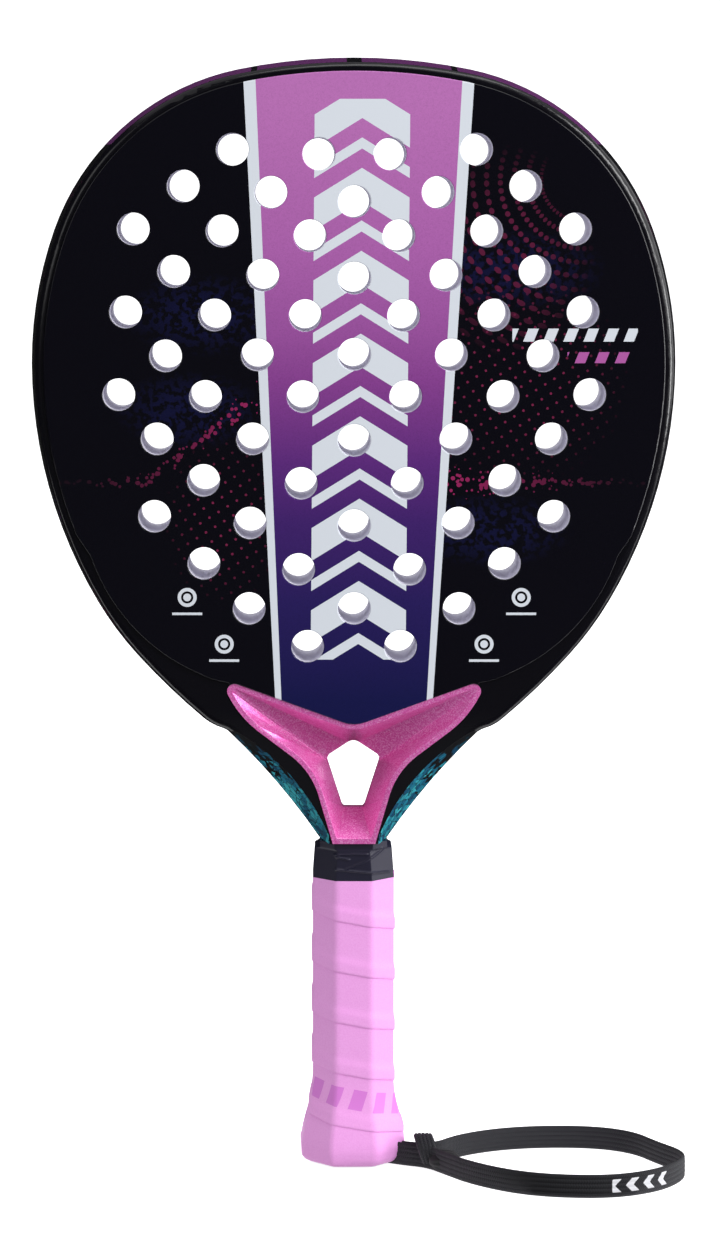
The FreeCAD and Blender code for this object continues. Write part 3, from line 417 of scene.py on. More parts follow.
def feed(finish, shader, name, source):
    """Links a socket or a node's first output to one of the shader's inputs."""
    socket = source.outputs[0] if isinstance(source, bpy.types.Node) else source
    finish.node_tree.links.new(socket, shader.inputs[name])


def lay_ink(finish, under, ink, stencil):
    """One pass of ink over what is there, where the stencil is open."""
    return add(finish, "Mix", {0: stencil, 6: under, 7: ink}, data_type="RGBA").outputs[2]


def grain(finish, shader, place, size, height, detail=2.0):
    """Raises the surface by a fine noise of that size and height, in millimetres."""
    noise = add(finish, "TexNoise", {"Vector": place, "Scale": 1 / size, "Detail": detail})
    bump = add(finish, "Bump", {"Height": noise, "Distance": height * MM, "Strength": 1.0})
    feed(finish, shader, "Normal", bump)
    return noise


def dress(finish, *names):
    """Gives measured bodies their finish."""
    for name in names:
        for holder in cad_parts[name].material_slots:
            holder.material = finish
    print(finish.name, "is on", ", ".join(names))


# %% [markdown]
# ## The print on the faces
# Each face is a woven laminate, sprayed near-black, screen printed and sealed under clear lacquer. The
# print could be an image, but it is drawn with nodes instead, pass by pass as a printer lays the inks,
# so that its edges stay sharp at any size. All of it is measured in millimetres across (x) and up (z).

# %% Mix the base and find the stripe
face_print, face_shader, place = start_finish("screen_printed_lacquer", roughness=0.22, ior=1.5)
axes = add(face_print, "SeparateXYZ", [place])
across, up = axes.outputs["X"], axes.outputs["Z"]
OFF_WHITE = linear("#DDE3EC")
STRIPE_FOOT = 192.0
STRIPE_TOP = 435.0
STRIPE_HALF = (29.2, 41.0)
BORDER_HALF = (31.7, 45.8)
STRIPE_LEAN = 1.7 / (STRIPE_TOP - STRIPE_FOOT)


def ramp(finish, value, stops, low=0.0, high=1.0):
    """A smooth run of colours, given as (value, hex), over values from low to high."""
    share = add(finish, "MapRange", {"Value": value, "From Min": low, "From Max": high})
    node = add(finish, "ValToRGB", [share])
    points = node.color_ramp.elements
    while len(points) < len(stops):
        points.new(0.5)
    for point, (at, colour) in zip(points, stops):
        point.position = (at - low) / (high - low)
        point.color = linear(colour)
    return node.outputs[0]


def half_width(finish, halves):
    """The half width of a stripe that widens evenly from its foot to its top."""
    return add(
        finish, "MapRange",
        {
            "Value": up, "From Min": STRIPE_FOOT, "From Max": STRIPE_TOP,
            "To Min": halves[0], "To Max": halves[1],
        },
        clamp=False,
    )


lean = add(face_print, "Math", [up, STRIPE_FOOT], operation="SUBTRACT")
axis = add(face_print, "Math", [lean, STRIPE_LEAN], operation="MULTIPLY")
off_axis = add(face_print, "Math", [across, axis], operation="SUBTRACT")
from_axis = add(face_print, "Math", [off_axis], operation="ABSOLUTE")
in_stripe = add(face_print, "Math", [from_axis, half_width(face_print, STRIPE_HALF)], operation="LESS_THAN")
in_border = add(face_print, "Math", [from_axis, half_width(face_print, BORDER_HALF)], operation="LESS_THAN")
print("The stripe is", 2 * STRIPE_HALF[1], "mm wide at the crown")

# %% [markdown]
# The side panels carry faint halftone patterns, which fade out at their edges. A soft oval patch says
# where each pattern shows. Navy mottling comes first, as a noise cut at a threshold.

# %% Print the navy mottling
def soft_patch(finish, centre, reach):
    """1 at the centre of an oval, in millimetres across and up, and 0 outside its reach."""
    away = add(finish, "CombineXYZ", [centre[0], 0.0, centre[1]])
    offset = add(finish, "VectorMath", [place, away], operation="SUBTRACT")
    scaled = add(finish, "VectorMath", [offset, (1 / reach[0], 0.0, 1 / reach[1])], operation="MULTIPLY")
    distance = add(finish, "VectorMath", [scaled], operation="LENGTH").outputs["Value"]
    return add(finish, "MapRange", {"Value": distance, "From Min": 1.0, "From Max": 0.35})


def most_of(finish, values):
    """The largest of several masks at each point."""
    found = values[0]
    for value in values[1:]:
        found = add(finish, "Math", [found, value], operation="MAXIMUM")
    return found


def all_of(finish, *values):
    """The product of several masks, open only where all of them are."""
    found = values[0]
    for value in values[1:]:
        found = add(finish, "Math", [found, value], operation="MULTIPLY")
    return found


NAVY_PATCHES = (((-60, 344), (32, 17)), ((60, 362), (42, 17)), ((-66, 306), (30, 16)), ((54, 258), (34, 15)))
PATTERN_GRAIN = 2.2
MOTTLE_CUT = (0.46, 0.56)
mottle = add(face_print, "TexNoise", {"Vector": place, "Scale": 1 / PATTERN_GRAIN, "Detail": 1.0})
mottle_range = {"Value": mottle, "From Min": MOTTLE_CUT[0], "From Max": MOTTLE_CUT[1]}
specks = add(face_print, "MapRange", mottle_range)
navy_area = most_of(face_print, [soft_patch(face_print, *patch) for patch in NAVY_PATCHES])
navy_stencil = all_of(face_print, specks, navy_area)
ink = lay_ink(face_print, linear("#04030F"), linear("#0A0C34"), navy_stencil)
print(len(NAVY_PATCHES), "navy patches")

# %% [markdown]
# Rows of maroon dots sweep round in arcs at the upper right. In polar millimetres about the arcs'
# centre the rows are straight, so a ping-pong of the radius and of the arc's length gives the distance
# to the nearest row and to the nearest dot in it.

# %% Print the rows of maroon dots
ARC_CENTRE = (91.0, 398.0)
ROW_PITCH = 5.5
DOT_PITCH = 3.1
ARC_RADIUS = 32.0
DOT_RADIUS = 1.05
HUB_RADIUS = 16.0
ARC_PATCH = ((60, 370), (36, 42))


def dots(finish, first, second, pitches, radius):
    """Dots of that radius where two measures, in millimetres, come round to their pitches."""
    rows = add(finish, "Math", [first, pitches[0] / 2], operation="PINGPONG")
    steps = add(finish, "Math", [second, pitches[1] / 2], operation="PINGPONG")
    spot = add(finish, "CombineXYZ", [rows, steps, 0.0])
    distance = add(finish, "VectorMath", [spot], operation="LENGTH").outputs["Value"]
    return add(finish, "Math", [distance, radius], operation="LESS_THAN")


right = add(face_print, "Math", [across, ARC_CENTRE[0]], operation="SUBTRACT")
above = add(face_print, "Math", [up, ARC_CENTRE[1]], operation="SUBTRACT")
arm = add(face_print, "CombineXYZ", [right, above, 0.0])
radius = add(face_print, "VectorMath", [arm], operation="LENGTH").outputs["Value"]
angle = add(face_print, "Math", [above, right], operation="ARCTAN2")
arc_length = add(face_print, "Math", [angle, ARC_RADIUS], operation="MULTIPLY")
arc_dots = dots(face_print, radius, arc_length, (ROW_PITCH, DOT_PITCH), DOT_RADIUS)
arc_area = soft_patch(face_print, *ARC_PATCH)
outside_hub = add(face_print, "Math", [radius, HUB_RADIUS], operation="GREATER_THAN")
ink = lay_ink(face_print, ink, linear("#5A1236"), all_of(face_print, arc_dots, arc_area, outside_hub))

# %% [markdown]
# A staggered grid of smaller dots lies below them, and again at the left. It is the same halftone,
# turned by a Mapping node.

# %% Print the grid of small dots
GRID_PITCH = 4.3
GRID_TURN = math.radians(32)
GRID_DOT = 0.5
GRID_PATCHES = (((64, 318), (46, 42)), ((-52, 262), (24, 34)))
turned = add(face_print, "Mapping", {"Vector": place, "Rotation": (0.0, GRID_TURN, 0.0)})
turned_axes = add(face_print, "SeparateXYZ", [turned])
grid_steps = turned_axes.outputs["X"], turned_axes.outputs["Z"]
grid_dots = dots(face_print, *grid_steps, (GRID_PITCH, GRID_PITCH), GRID_DOT)
grid_area = most_of(face_print, [soft_patch(face_print, *patch) for patch in GRID_PATCHES])
ink = lay_ink(face_print, ink, linear("#7A1B45"), all_of(face_print, grid_dots, grid_area))

# %% [markdown]
# Two streaks of magenta spatter start at the stripe and thin out towards the rim. Spatter is a Voronoi
# pattern of random dots that shrink with their distance from the streak's line.

# %% Print the magenta streaks
STREAK_HEIGHT = 277.0
STREAK_SLOPE = 0.78
STREAK_KNEE = -83.0
STREAK_HALF = (8.5, 2.0)
STREAK_SPREAD = (38.0, 112.0)
SPATTER = 2.1
SPATTER_DOT = 0.52


def distance_from(finish, value, middle):
    """How far a value is from its middle, on either side."""
    offset = add(finish, "Math", [value, middle], operation="SUBTRACT")
    return add(finish, "Math", [offset], operation="ABSOLUTE")


past_knee = add(face_print, "Math", [across, STREAK_KNEE], operation="SUBTRACT")
rise = add(face_print, "Math", [past_knee, 0.0], operation="MAXIMUM")
left_side = add(face_print, "Math", [across, 0.0], operation="LESS_THAN")
rise = all_of(face_print, rise, left_side)
streak_line = add(face_print, "Math", [rise, STREAK_SLOPE, STREAK_HEIGHT], operation="MULTIPLY_ADD")
from_streak = distance_from(face_print, up, streak_line)
spread = add(face_print, "Math", [across], operation="ABSOLUTE")
streak_half = add(
    face_print, "MapRange",
    {
        "Value": spread, "From Min": STREAK_SPREAD[0], "From Max": STREAK_SPREAD[1],
        "To Min": STREAK_HALF[0], "To Max": STREAK_HALF[1],
    },
)
depth = add(face_print, "Math", [from_streak, streak_half], operation="DIVIDE")
dot_size = add(face_print, "MapRange", {"Value": depth, "To Min": SPATTER_DOT, "To Max": 0.0})
spatter = add(face_print, "TexVoronoi", {"Vector": place, "Scale": 1 / SPATTER})
streak_stencil = add(face_print, "Math", [spatter, dot_size], operation="LESS_THAN")
streak_ink = ramp(face_print, spread, ((38, "#9A1C5C"), (66, "#6A1440"), (108, "#1C0818")), 38, 108)
ink = lay_ink(face_print, ink, streak_ink, streak_stencil)

# %% [markdown]
# The middle stripe runs from mauve to navy over fine silver flake, between two off-white borders. In it
# stands a column of bold off-white chevrons, thick and thin by turns. The flake is drawn at 0.42 mm,
# several times its real size, because finer flake would not show from here.

# %% Print the stripe and its chevrons
STRIPE_INKS = (
    (189, "#0E1048"), (229, "#24165A"), (261, "#3D1B69"), (285, "#5A2479"),
    (317, "#833A8C"), (337, "#964C9A"), (369, "#A85CA8"), (429, "#B66CB2"),
)
FLAKE = 0.42
FLAKE_GAIN = (0.9, 1.12)
stripe_ink = ramp(face_print, up, STRIPE_INKS, 189, 429)
flakes = add(face_print, "TexVoronoi", {"Vector": place, "Scale": 1 / FLAKE}).outputs["Color"]
flake_tone = add(face_print, "SeparateColor", [flakes], mode="HSV").outputs["Blue"]
gain_range = {"Value": flake_tone, "To Min": FLAKE_GAIN[0], "To Max": FLAKE_GAIN[1]}
flake_gain = add(face_print, "MapRange", gain_range)
stripe_ink = add(face_print, "VectorMath", {0: stripe_ink, "Scale": flake_gain.outputs[0]}, operation="SCALE")
ink = lay_ink(face_print, ink, OFF_WHITE, in_border)
ink = lay_ink(face_print, ink, stripe_ink, in_stripe)

CHEVRON_PITCH = 33.0
CHEVRON_THICK = 6.6
CHEVRON_THIN = 2.2
CHEVRON_SLOPE = 0.62
CHEVRON_HALF = 19.0
COLUMN_CENTRE = 1.5
COLUMN_MIDDLE = 318.0
COLUMN_HALF = 112.0
from_column = distance_from(face_print, off_axis, COLUMN_CENTRE)
chevron_height = add(face_print, "Math", [from_column, CHEVRON_SLOPE, up], operation="MULTIPLY_ADD")
from_thick = add(face_print, "Math", [chevron_height, CHEVRON_PITCH / 2], operation="PINGPONG")
half_step = add(face_print, "Math", [chevron_height, CHEVRON_PITCH / 2], operation="ADD")
from_thin = add(face_print, "Math", [half_step, CHEVRON_PITCH / 2], operation="PINGPONG")
thick = add(face_print, "Math", [from_thick, CHEVRON_THICK], operation="LESS_THAN")
thin = add(face_print, "Math", [from_thin, CHEVRON_THIN], operation="LESS_THAN")
in_column = add(face_print, "Math", [from_column, CHEVRON_HALF], operation="LESS_THAN")
from_middle = distance_from(face_print, up, COLUMN_MIDDLE)
in_length = add(face_print, "Math", [from_middle, COLUMN_HALF], operation="LESS_THAN")
zigzag = most_of(face_print, [thick, thin])
ink = lay_ink(face_print, ink, OFF_WHITE, all_of(face_print, zigzag, in_column, in_length))

# %% [markdown]
# Low on each side are two round marks, each over a short bar, and at the right a band of slanted bars.
# They are plain shapes, the same on the left and the right, so they are measured from the middle.

# %% Print the marks
MARKS = ((66.8, 231.0), (52.0, 212.2))
MARK_RADIUS = 3.8
RING = (2.0, 0.45)
UNDERLINE = (6.6, 0.5, 6.0)
mirrored = add(face_print, "CombineXYZ", [spread, up, 0.0])


def in_band(finish, value, middle, half):
    """1 where the value lies within half of the middle."""
    return add(finish, "Math", [value, middle, half], operation="COMPARE")


marks = []
for mark in MARKS:
    offset = add(face_print, "VectorMath", [mirrored, (*mark, 0.0)], operation="SUBTRACT")
    distance = add(face_print, "VectorMath", [offset], operation="LENGTH").outputs["Value"]
    disc = add(face_print, "Math", [distance, MARK_RADIUS], operation="LESS_THAN")
    ring = in_band(face_print, distance, *RING)
    cut_disc = add(face_print, "Math", [disc, ring], operation="SUBTRACT")
    bar_height = in_band(face_print, up, mark[1] - UNDERLINE[0], UNDERLINE[1])
    bar_width = in_band(face_print, spread, mark[0], UNDERLINE[2])
    marks += [cut_disc, all_of(face_print, bar_height, bar_width)]
ink = lay_ink(face_print, ink, OFF_WHITE, most_of(face_print, marks))

BAR_PITCH = 8.0
BAR_HALF = 2.1
BAR_SLANT = 0.4
slant = add(face_print, "Math", [up, -BAR_SLANT, across], operation="MULTIPLY_ADD")
from_bar = add(face_print, "Math", [slant, BAR_PITCH / 2], operation="PINGPONG")
on_bar = add(face_print, "Math", [from_bar, BAR_HALF], operation="LESS_THAN")
BAR_ROWS = (("#DDE3EC", 336.0, 2.6, 88.0, 25.0), ("#B35AA6", 327.0, 2.2, 98.0, 13.0))
for colour, middle, half, centre, reach in BAR_ROWS:
    tall = in_band(face_print, up, middle, half)
    wide = in_band(face_print, across, centre, reach)
    ink = lay_ink(face_print, ink, linear(colour), all_of(face_print, tall, wide, on_bar))
feed(face_print, face_shader, "Base Color", ink)
grain(face_print, face_shader, place, 6.0, 0.004)
dress(face_print, "front_face", "rear_face")

# %% [markdown]
# ## The frame
# The hoop is a carbon tube, cured in a mould, sprayed black and lacquered. Purple panels are printed on
# its outer side over the crown, with a few blue and maroon specks below them, and a scale pattern in
# teal on the slopes of the neck only, which fades out upwards. The eye reads the tube by its long
# highlights, so the lacquer is smooth, and a little more satin down where the scales are.

# %% Lacquer the frame
hoop_paint, hoop_shader, place = start_finish("lacquered_carbon", ior=1.5)
axes = add(hoop_paint, "SeparateXYZ", [place])
across, up = axes.outputs["X"], axes.outputs["Z"]
from_middle = add(hoop_paint, "Math", [axes.outputs["Y"]], operation="ABSOLUTE")
spread = add(hoop_paint, "Math", [across], operation="ABSOLUTE")
SIDE_FRONT = 15.4
CROWN_FOOT = 412.0
GAP_PLACES = ((40.0, 1.2), (0.0, 3.0))
on_side = add(
    hoop_paint, "MapRange", {"Value": from_middle, "From Min": SIDE_FRONT + 0.2, "From Max": SIDE_FRONT},
)
over_crown = add(hoop_paint, "Math", [up, CROWN_FOOT], operation="GREATER_THAN")
purple = all_of(hoop_paint, on_side, over_crown)
for gap_place, gap_half in GAP_PLACES:
    gap = in_band(hoop_paint, spread, gap_place, gap_half)
    purple = add(hoop_paint, "Math", [purple, gap], operation="SUBTRACT", use_clamp=True)
ink = lay_ink(hoop_paint, linear("#08070F"), linear("#6E3472"), purple)

SPECK = 1.6
SPECK_CLOUD = 22.0
CLOUD_CUT = (0.5, 0.75)
SPECK_DOT = 0.55
speck_noise = add(hoop_paint, "TexVoronoi", {"Vector": place, "Scale": 1 / SPECK})
cloud = add(hoop_paint, "TexNoise", {"Vector": place, "Scale": 1 / SPECK_CLOUD, "Detail": 1.0})
speck_size = add(
    hoop_paint, "MapRange",
    {
        "Value": cloud, "From Min": CLOUD_CUT[0], "From Max": CLOUD_CUT[1],
        "To Min": 0.0, "To Max": SPECK_DOT,
    },
)
speck = add(hoop_paint, "Math", [speck_noise, speck_size], operation="LESS_THAN")
below = add(hoop_paint, "Math", [up, CROWN_FOOT], operation="LESS_THAN")
speck = all_of(hoop_paint, speck, below, on_side)
SPECK_INKS = ((180, "#5A1236"), (230, "#7A1B45"), (275, "#15206A"), (350, "#3A1030"))
speck_ink = ramp(hoop_paint, up, SPECK_INKS, 180, 350)
ink = lay_ink(hoop_paint, ink, speck_ink, speck)

SCALE_SIZE = 2.9
SCALE_FADE = 150.0
SCALE_TOP = 176.0
SCALE_GAP = 0.045
SLOPE_FRONT = 17.6
scale_cells = {"Vector": place, "Scale": 1 / SCALE_SIZE, "Randomness": 0.85}
scales = add(hoop_paint, "TexVoronoi", scale_cells)
scale_tone = add(hoop_paint, "SeparateColor", [scales.outputs["Color"]]).outputs["Red"]
SCALE_INKS = ((0, "#0B4A6E"), (0.35, "#1C86A4"), (0.7, "#3FC1CE"), (1, "#0E3F66"))
scale_ink = ramp(hoop_paint, scale_tone, SCALE_INKS)
scale_edges = add(hoop_paint, "TexVoronoi", scale_cells, feature="DISTANCE_TO_EDGE")
in_scale = add(hoop_paint, "Math", [scale_edges, SCALE_GAP], operation="GREATER_THAN")
fade = add(
    hoop_paint, "MapRange",
    {"Value": up, "From Min": SCALE_FADE, "From Max": SCALE_TOP, "To Min": 1.0, "To Max": 0.0},
)
kept = add(hoop_paint, "Math", [scale_tone, fade], operation="LESS_THAN")
on_slope = add(hoop_paint, "Math", [from_middle, SLOPE_FRONT], operation="LESS_THAN")
ink = lay_ink(hoop_paint, ink, scale_ink, all_of(hoop_paint, in_scale, kept, on_slope))
feed(hoop_paint, hoop_shader, "Base Color", ink)
SATIN_TOP = 186.0
SATIN, GLOSS = 0.3, 0.2
satin = add(
    hoop_paint, "MapRange",
    {"Value": up, "From Min": SCALE_TOP, "From Max": SATIN_TOP, "To Min": SATIN, "To Max": GLOSS},
)
feed(hoop_paint, hoop_shader, "Roughness", satin)
grain(hoop_paint, hoop_shader, place, 9.0, 0.006)
dress(hoop_paint, "frame_hoop", "throat_bridge")

# %% [markdown]
# ## The foam core
# The core is EVA foam, a closed-cell rubber foam cut with a drill through the faces. It is nearly
# white with a lilac cast and quite matt, with cells of about a third of a millimetre that catch the
# light as a faint grain. Many plain materials are like it, two close tones that follow their own
# grain, so one helper makes them all.

# %% Colour the foam
GRAIN_LOW, GRAIN_HIGH = 0.3, 0.7


def two_toned(finish, noise, dark, light):
    """Colour that runs between two tones with a noise."""
    return ramp(finish, noise, ((GRAIN_LOW, dark), (GRAIN_HIGH, light)), GRAIN_LOW, GRAIN_HIGH)


def plain_finish(name, tones, size, height, **surface):
    """A finish in two tones over a grain of that size and height, and its shader."""
    finish, shader, place = start_finish(name, **surface)
    noise = grain(finish, shader, place, size, height)
    feed(finish, shader, "Base Color", two_toned(finish, noise, *tones))
    return finish, shader


foam, _ = plain_finish("eva_foam", ("#EAE8F8", "#F8F6FF"), 0.35, 0.12, roughness=0.85, ior=1.45)
dress(foam, "eva_core")

# %% [markdown]
# ## The throat insert
# The pink insert is moulded nylon with a metallic flake lacquer. Its facets meet in soft creases. The
# measured body has them knife-sharp, which no mould gives, so a merged copy has each crease beveled,
# and the copy replaces the body. Its flake too is drawn several times its real size, to show.

# %% Soften the insert's creases
CREASE_RADIUS = 0.55
FLAT_ANGLE = math.radians(0.6)


def softened(node_name, piece_name, slot, low=7.0, high=75.0):
    """A copy of a measured body, merged, with its creases between two angles rounded."""
    shape = bmesh.new()
    shape.from_mesh(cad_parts[node_name].data)
    bmesh.ops.remove_doubles(shape, verts=shape.verts, dist=0.005 * MM)
    bmesh.ops.dissolve_limit(
        shape, angle_limit=FLAT_ANGLE, use_dissolve_boundaries=False,
        verts=shape.verts, edges=shape.edges,
    )
    creases = [
        edge for edge in shape.edges
        if len(edge.link_faces) == 2 and math.radians(low) < edge.calc_face_angle(0) < math.radians(high)
        and edge.calc_length() > 2 * CREASE_RADIUS * MM
    ]
    bmesh.ops.bevel(
        shape, geom=creases, offset=CREASE_RADIUS * MM, offset_type="OFFSET", affect="EDGES", segments=3,
        profile=0.5, material=-1, clamp_overlap=True,
    )
    bmesh.ops.recalc_face_normals(shape, faces=shape.faces)
    print(node_name, "has", len(creases), "creases rounded")
    return make_piece(piece_name, shape, slot, node_name, crease=40)


inserts = [
    softened("heart_front", "throat_insert_front", "pink_moulding"),
    softened("heart_rear", "throat_insert_rear", "pink_moulding"),
]

# %% Lacquer the insert
PINK_FLAKE = 0.35
pink_metal, pink_shader, place = start_finish(
    "pink_flake_lacquer", roughness=0.34, metallic=0.35, ior=1.5, coat_weight=0.5, coat_roughness=0.15,
)
flakes = add(pink_metal, "TexVoronoi", {"Vector": place, "Scale": 1 / PINK_FLAKE})
flake_tone = add(pink_metal, "SeparateColor", [flakes.outputs["Color"]]).outputs["Red"]
PINK_INKS = ((0, "#E450AE"), (0.6, "#F074C8"), (1, "#FCA6E0"))
feed(pink_metal, pink_shader, "Base Color", ramp(pink_metal, flake_tone, PINK_INKS))
flake_bump = add(pink_metal, "Bump", {"Height": flake_tone, "Distance": 0.012 * MM, "Strength": 1.0})
feed(pink_metal, pink_shader, "Normal", flake_bump)
for insert in inserts:
    insert.data.materials.clear()
    insert.data.materials.append(pink_metal)

# %% [markdown]
# ## The overgrip
# The grip is one strip of polyurethane tape, about 25 mm wide, wound from the butt upwards. Each turn
# laps over the one below, so its lower edge stands proud and runs round as a helix. It could be a bump
# on a sleeve, but the edges show in the outline. So the strip itself is wound: a long grid, laid on the
# measured sleeve by casting a ray at each point, lifted where it laps, and given its thickness.

# %% Wind the overgrip
TAPE_WIDTH = 25.0
TAPE_PITCH = 20.6
TAPE_THICKNESS = 0.5
LAP_LIFT = 0.5
EDGE_ROUNDING = 0.5
EDGE_DROP = 0.3
UNDERLAP_DROP = 0.06
OCTAGON_GIRTH = 108.0
FRONT_SEAM = 16.35
LAP_STEP = (4.0, 7.0)
ROW_CROWDING = 1.5
COLUMNS_PER_TURN = 96
TAPE_ROWS = 18
sleeve_low, sleeve_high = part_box("overgrip")
GRIP_FOOT = sleeve_low.z / MM + 0.05
GRIP_TOP = sleeve_high.z / MM - 0.05
WIND_START = GRIP_FOOT + 2.0 - TAPE_WIDTH
WIND_END = GRIP_TOP - 3.0
CAST_FROM = 60.0


def surface_of(node_name):
    """A measured body as a tree that rays can be cast at."""
    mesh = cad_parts[node_name].data
    return BVHTree.FromPolygons([v.co for v in mesh.vertices], [p.vertices for p in mesh.polygons])


def skin_point(tree, angle, height):
    """The outside of a body, seen from the side, and its direction there. The back half stands for both."""
    towards = Vector((math.cos(angle), abs(math.sin(angle)), 0))
    start = towards * CAST_FROM * MM + Vector((0, 0, height * MM))
    point, normal, _, _ = tree.ray_cast(start, -towards)
    normal = Vector((normal.x, normal.y, 0)).normalized()
    if math.sin(angle) < 0:
        point, normal = point * Vector((1, -1, 1)), normal * Vector((1, -1, 1))
    return point, normal


def smooth_share(value, low, high):
    """0 below low, 1 above high, and smooth between."""
    share = min(1.0, max(0.0, (value - low) / (high - low)))
    return share * share * (3 - 2 * share)


sleeve_tree = surface_of("overgrip")


def carry_tape(u, v):
    """Lays the tape on the sleeve, as far round as it has climbed."""
    lower_edge = WIND_START + (WIND_END - WIND_START) * u
    angle = -math.pi / 2 - 2 * math.pi * (lower_edge - FRONT_SEAM) / TAPE_PITCH
    low = max(lower_edge, GRIP_FOOT)
    high = min(lower_edge + TAPE_WIDTH, GRIP_TOP)
    height = low + (high - low) * v ** ROW_CROWDING
    point, normal = skin_point(sleeve_tree, angle, height)
    across_tape = height - lower_edge
    lift = LAP_LIFT * (1 - smooth_share(across_tape, *LAP_STEP))
    lift -= UNDERLAP_DROP * smooth_share(across_tape, TAPE_PITCH - 0.5, TAPE_PITCH + 0.5)
    if lower_edge > GRIP_FOOT:
        lift -= EDGE_DROP * (1 - min(1.0, across_tape / EDGE_ROUNDING)) ** 2
    return point + normal * lift * MM


TURNS = (WIND_END - WIND_START) / TAPE_PITCH
tape_run = TURNS * OCTAGON_GIRTH
tape_columns = round(TURNS * COLUMNS_PER_TURN)
tape_shape = carried_grid(tape_columns, TAPE_ROWS, carry_tape, (tape_run, TAPE_WIDTH))
bmesh.ops.remove_doubles(tape_shape, verts=tape_shape.verts, dist=0.002 * MM)
bmesh.ops.solidify(tape_shape, geom=tape_shape.faces, thickness=-TAPE_THICKNESS * MM)
bmesh.ops.recalc_face_normals(tape_shape, faces=tape_shape.faces)
overgrip_tape = make_piece("overgrip_tape", tape_shape, "pink_overgrip", "overgrip", crease=50)
print("The tape is wound", round(TURNS, 2), "times,", round(tape_run), "mm long")

# %% [markdown]
# Overgrip tape has a soft, slightly tacky skin over a fibre felt. It is nearly matt, with a broad
# sheen, and its pink shows faint pores. One turn near the butt carries a row of slanted bars, printed
# in a deeper pink.

# %% Colour the overgrip
tape_finish, tape_shader, place = start_finish(
    "tacky_polyurethane", roughness=0.55, ior=1.48, sheen_weight=0.05,
)
uv_axes = add(tape_finish, "SeparateXYZ", [add(tape_finish, "UVMap", uv_map="UVMap")])
run, width = uv_axes.outputs["X"], uv_axes.outputs["Y"]
pores = grain(tape_finish, tape_shader, place, 0.5, 0.03)
ink = two_toned(tape_finish, pores, "#F7A2EF", "#FDAFF6")
BAR_RUN = (190.0, 66.0)
BAR_TALL = (14.5, 3.6)
TAPE_BAR_PITCH = 9.0
TAPE_BAR_HALF = 2.6
TAPE_BAR_SLANT = 0.35
slant = add(tape_finish, "Math", [width, TAPE_BAR_SLANT, run], operation="MULTIPLY_ADD")
from_bar = add(tape_finish, "Math", [slant, TAPE_BAR_PITCH / 2], operation="PINGPONG")
on_bar = add(tape_finish, "Math", [from_bar, TAPE_BAR_HALF], operation="LESS_THAN")
tall = in_band(tape_finish, width, *BAR_TALL)
long = in_band(tape_finish, run, *BAR_RUN)
ink = lay_ink(tape_finish, ink, linear("#E680E4"), all_of(tape_finish, on_bar, tall, long))
feed(tape_finish, tape_shader, "Base Color", ink)
overgrip_tape.data.materials.append(tape_finish)

# %% [markdown]
# ## The rubber collar
# A stretched rubber ring covers the end of the tape. It is moulded with raised lines that cross on its
# front and back. The lines are shallow but catch the light, so they are raised in the mesh: a fine grid
# laid on the measured ring, lifted near each line.

# %% Mould the collar
collar_low, collar_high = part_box("rubber_collar")
COLLAR_FOOT = collar_low.z / MM + 0.02
COLLAR_TOP = collar_high.z / MM - 0.02
LINE_HEIGHT = 0.6
LINE_HALF = 0.42
RIM_SHARE = 0.93
COLLAR_GRID = (288, 64)
COLLAR_LINES = (
    ((-7.4, 126.6), (-1.0, 127.1), (5.3, 127.0)),
    ((-7.0, 125.9), (-2.0, 124.9)),
    ((-3.4, 120.9), (4.5, 124.2), (11.5, 128.4)),
    ((-7.0, 120.9), (3.9, 119.8), (14.0, 119.0)),
)
collar_tree = surface_of("rubber_collar")


def line_distance(point, line):
    """How far a point is from a line of points, in millimetres."""
    nearest = math.inf
    for first, last in zip(line, line[1:]):
        first, last = Vector(first), Vector(last)
        share = max(0.0, min(1.0, (point - first).dot(last - first) / (last - first).length_squared))
        nearest = min(nearest, (point - first.lerp(last, share)).length)
    return nearest


def carry_collar(u, v):
    """Lays the ring's grid on its surface, raised near the moulded lines."""
    angle = 2 * math.pi * u
    height = COLLAR_FOOT + (COLLAR_TOP - COLLAR_FOOT) * v
    point, normal = skin_point(collar_tree, angle, height)
    side = -1.0 if point.y > 0 else 1.0
    flat = Vector((point.x / MM * side, height))
    near = min(line_distance(flat, line) for line in COLLAR_LINES)
    return point + normal * LINE_HEIGHT * math.exp(-((near / LINE_HALF) ** 2)) * MM


collar_shape = carried_grid(*COLLAR_GRID, carry_collar)
bmesh.ops.remove_doubles(collar_shape, verts=collar_shape.verts, dist=0.005 * MM)
rims = [edge for edge in collar_shape.edges if edge.is_boundary]
turned_in = bmesh.ops.extrude_edge_only(collar_shape, edges=rims)["geom"]
for vert in (item for item in turned_in if isinstance(item, bmesh.types.BMVert)):
    vert.co.xy *= RIM_SHARE
bmesh.ops.recalc_face_normals(collar_shape, faces=collar_shape.faces)
collar = make_piece("rubber_ring", collar_shape, "black_rubber", "rubber_collar", crease=50)

# %% [markdown]
# Moulded rubber is black with a violet cast under this light, and satin: its highlights are broad and
# soft, with a very fine texture from the mould.

# %% Colour the rubber
rubber, rubber_shader, place = start_finish(
    "moulded_rubber", roughness=0.45, ior=1.4, base_color=linear("#1F1D33"),
)
grain(rubber, rubber_shader, place, 0.3, 0.01)
collar.data.materials.append(rubber)
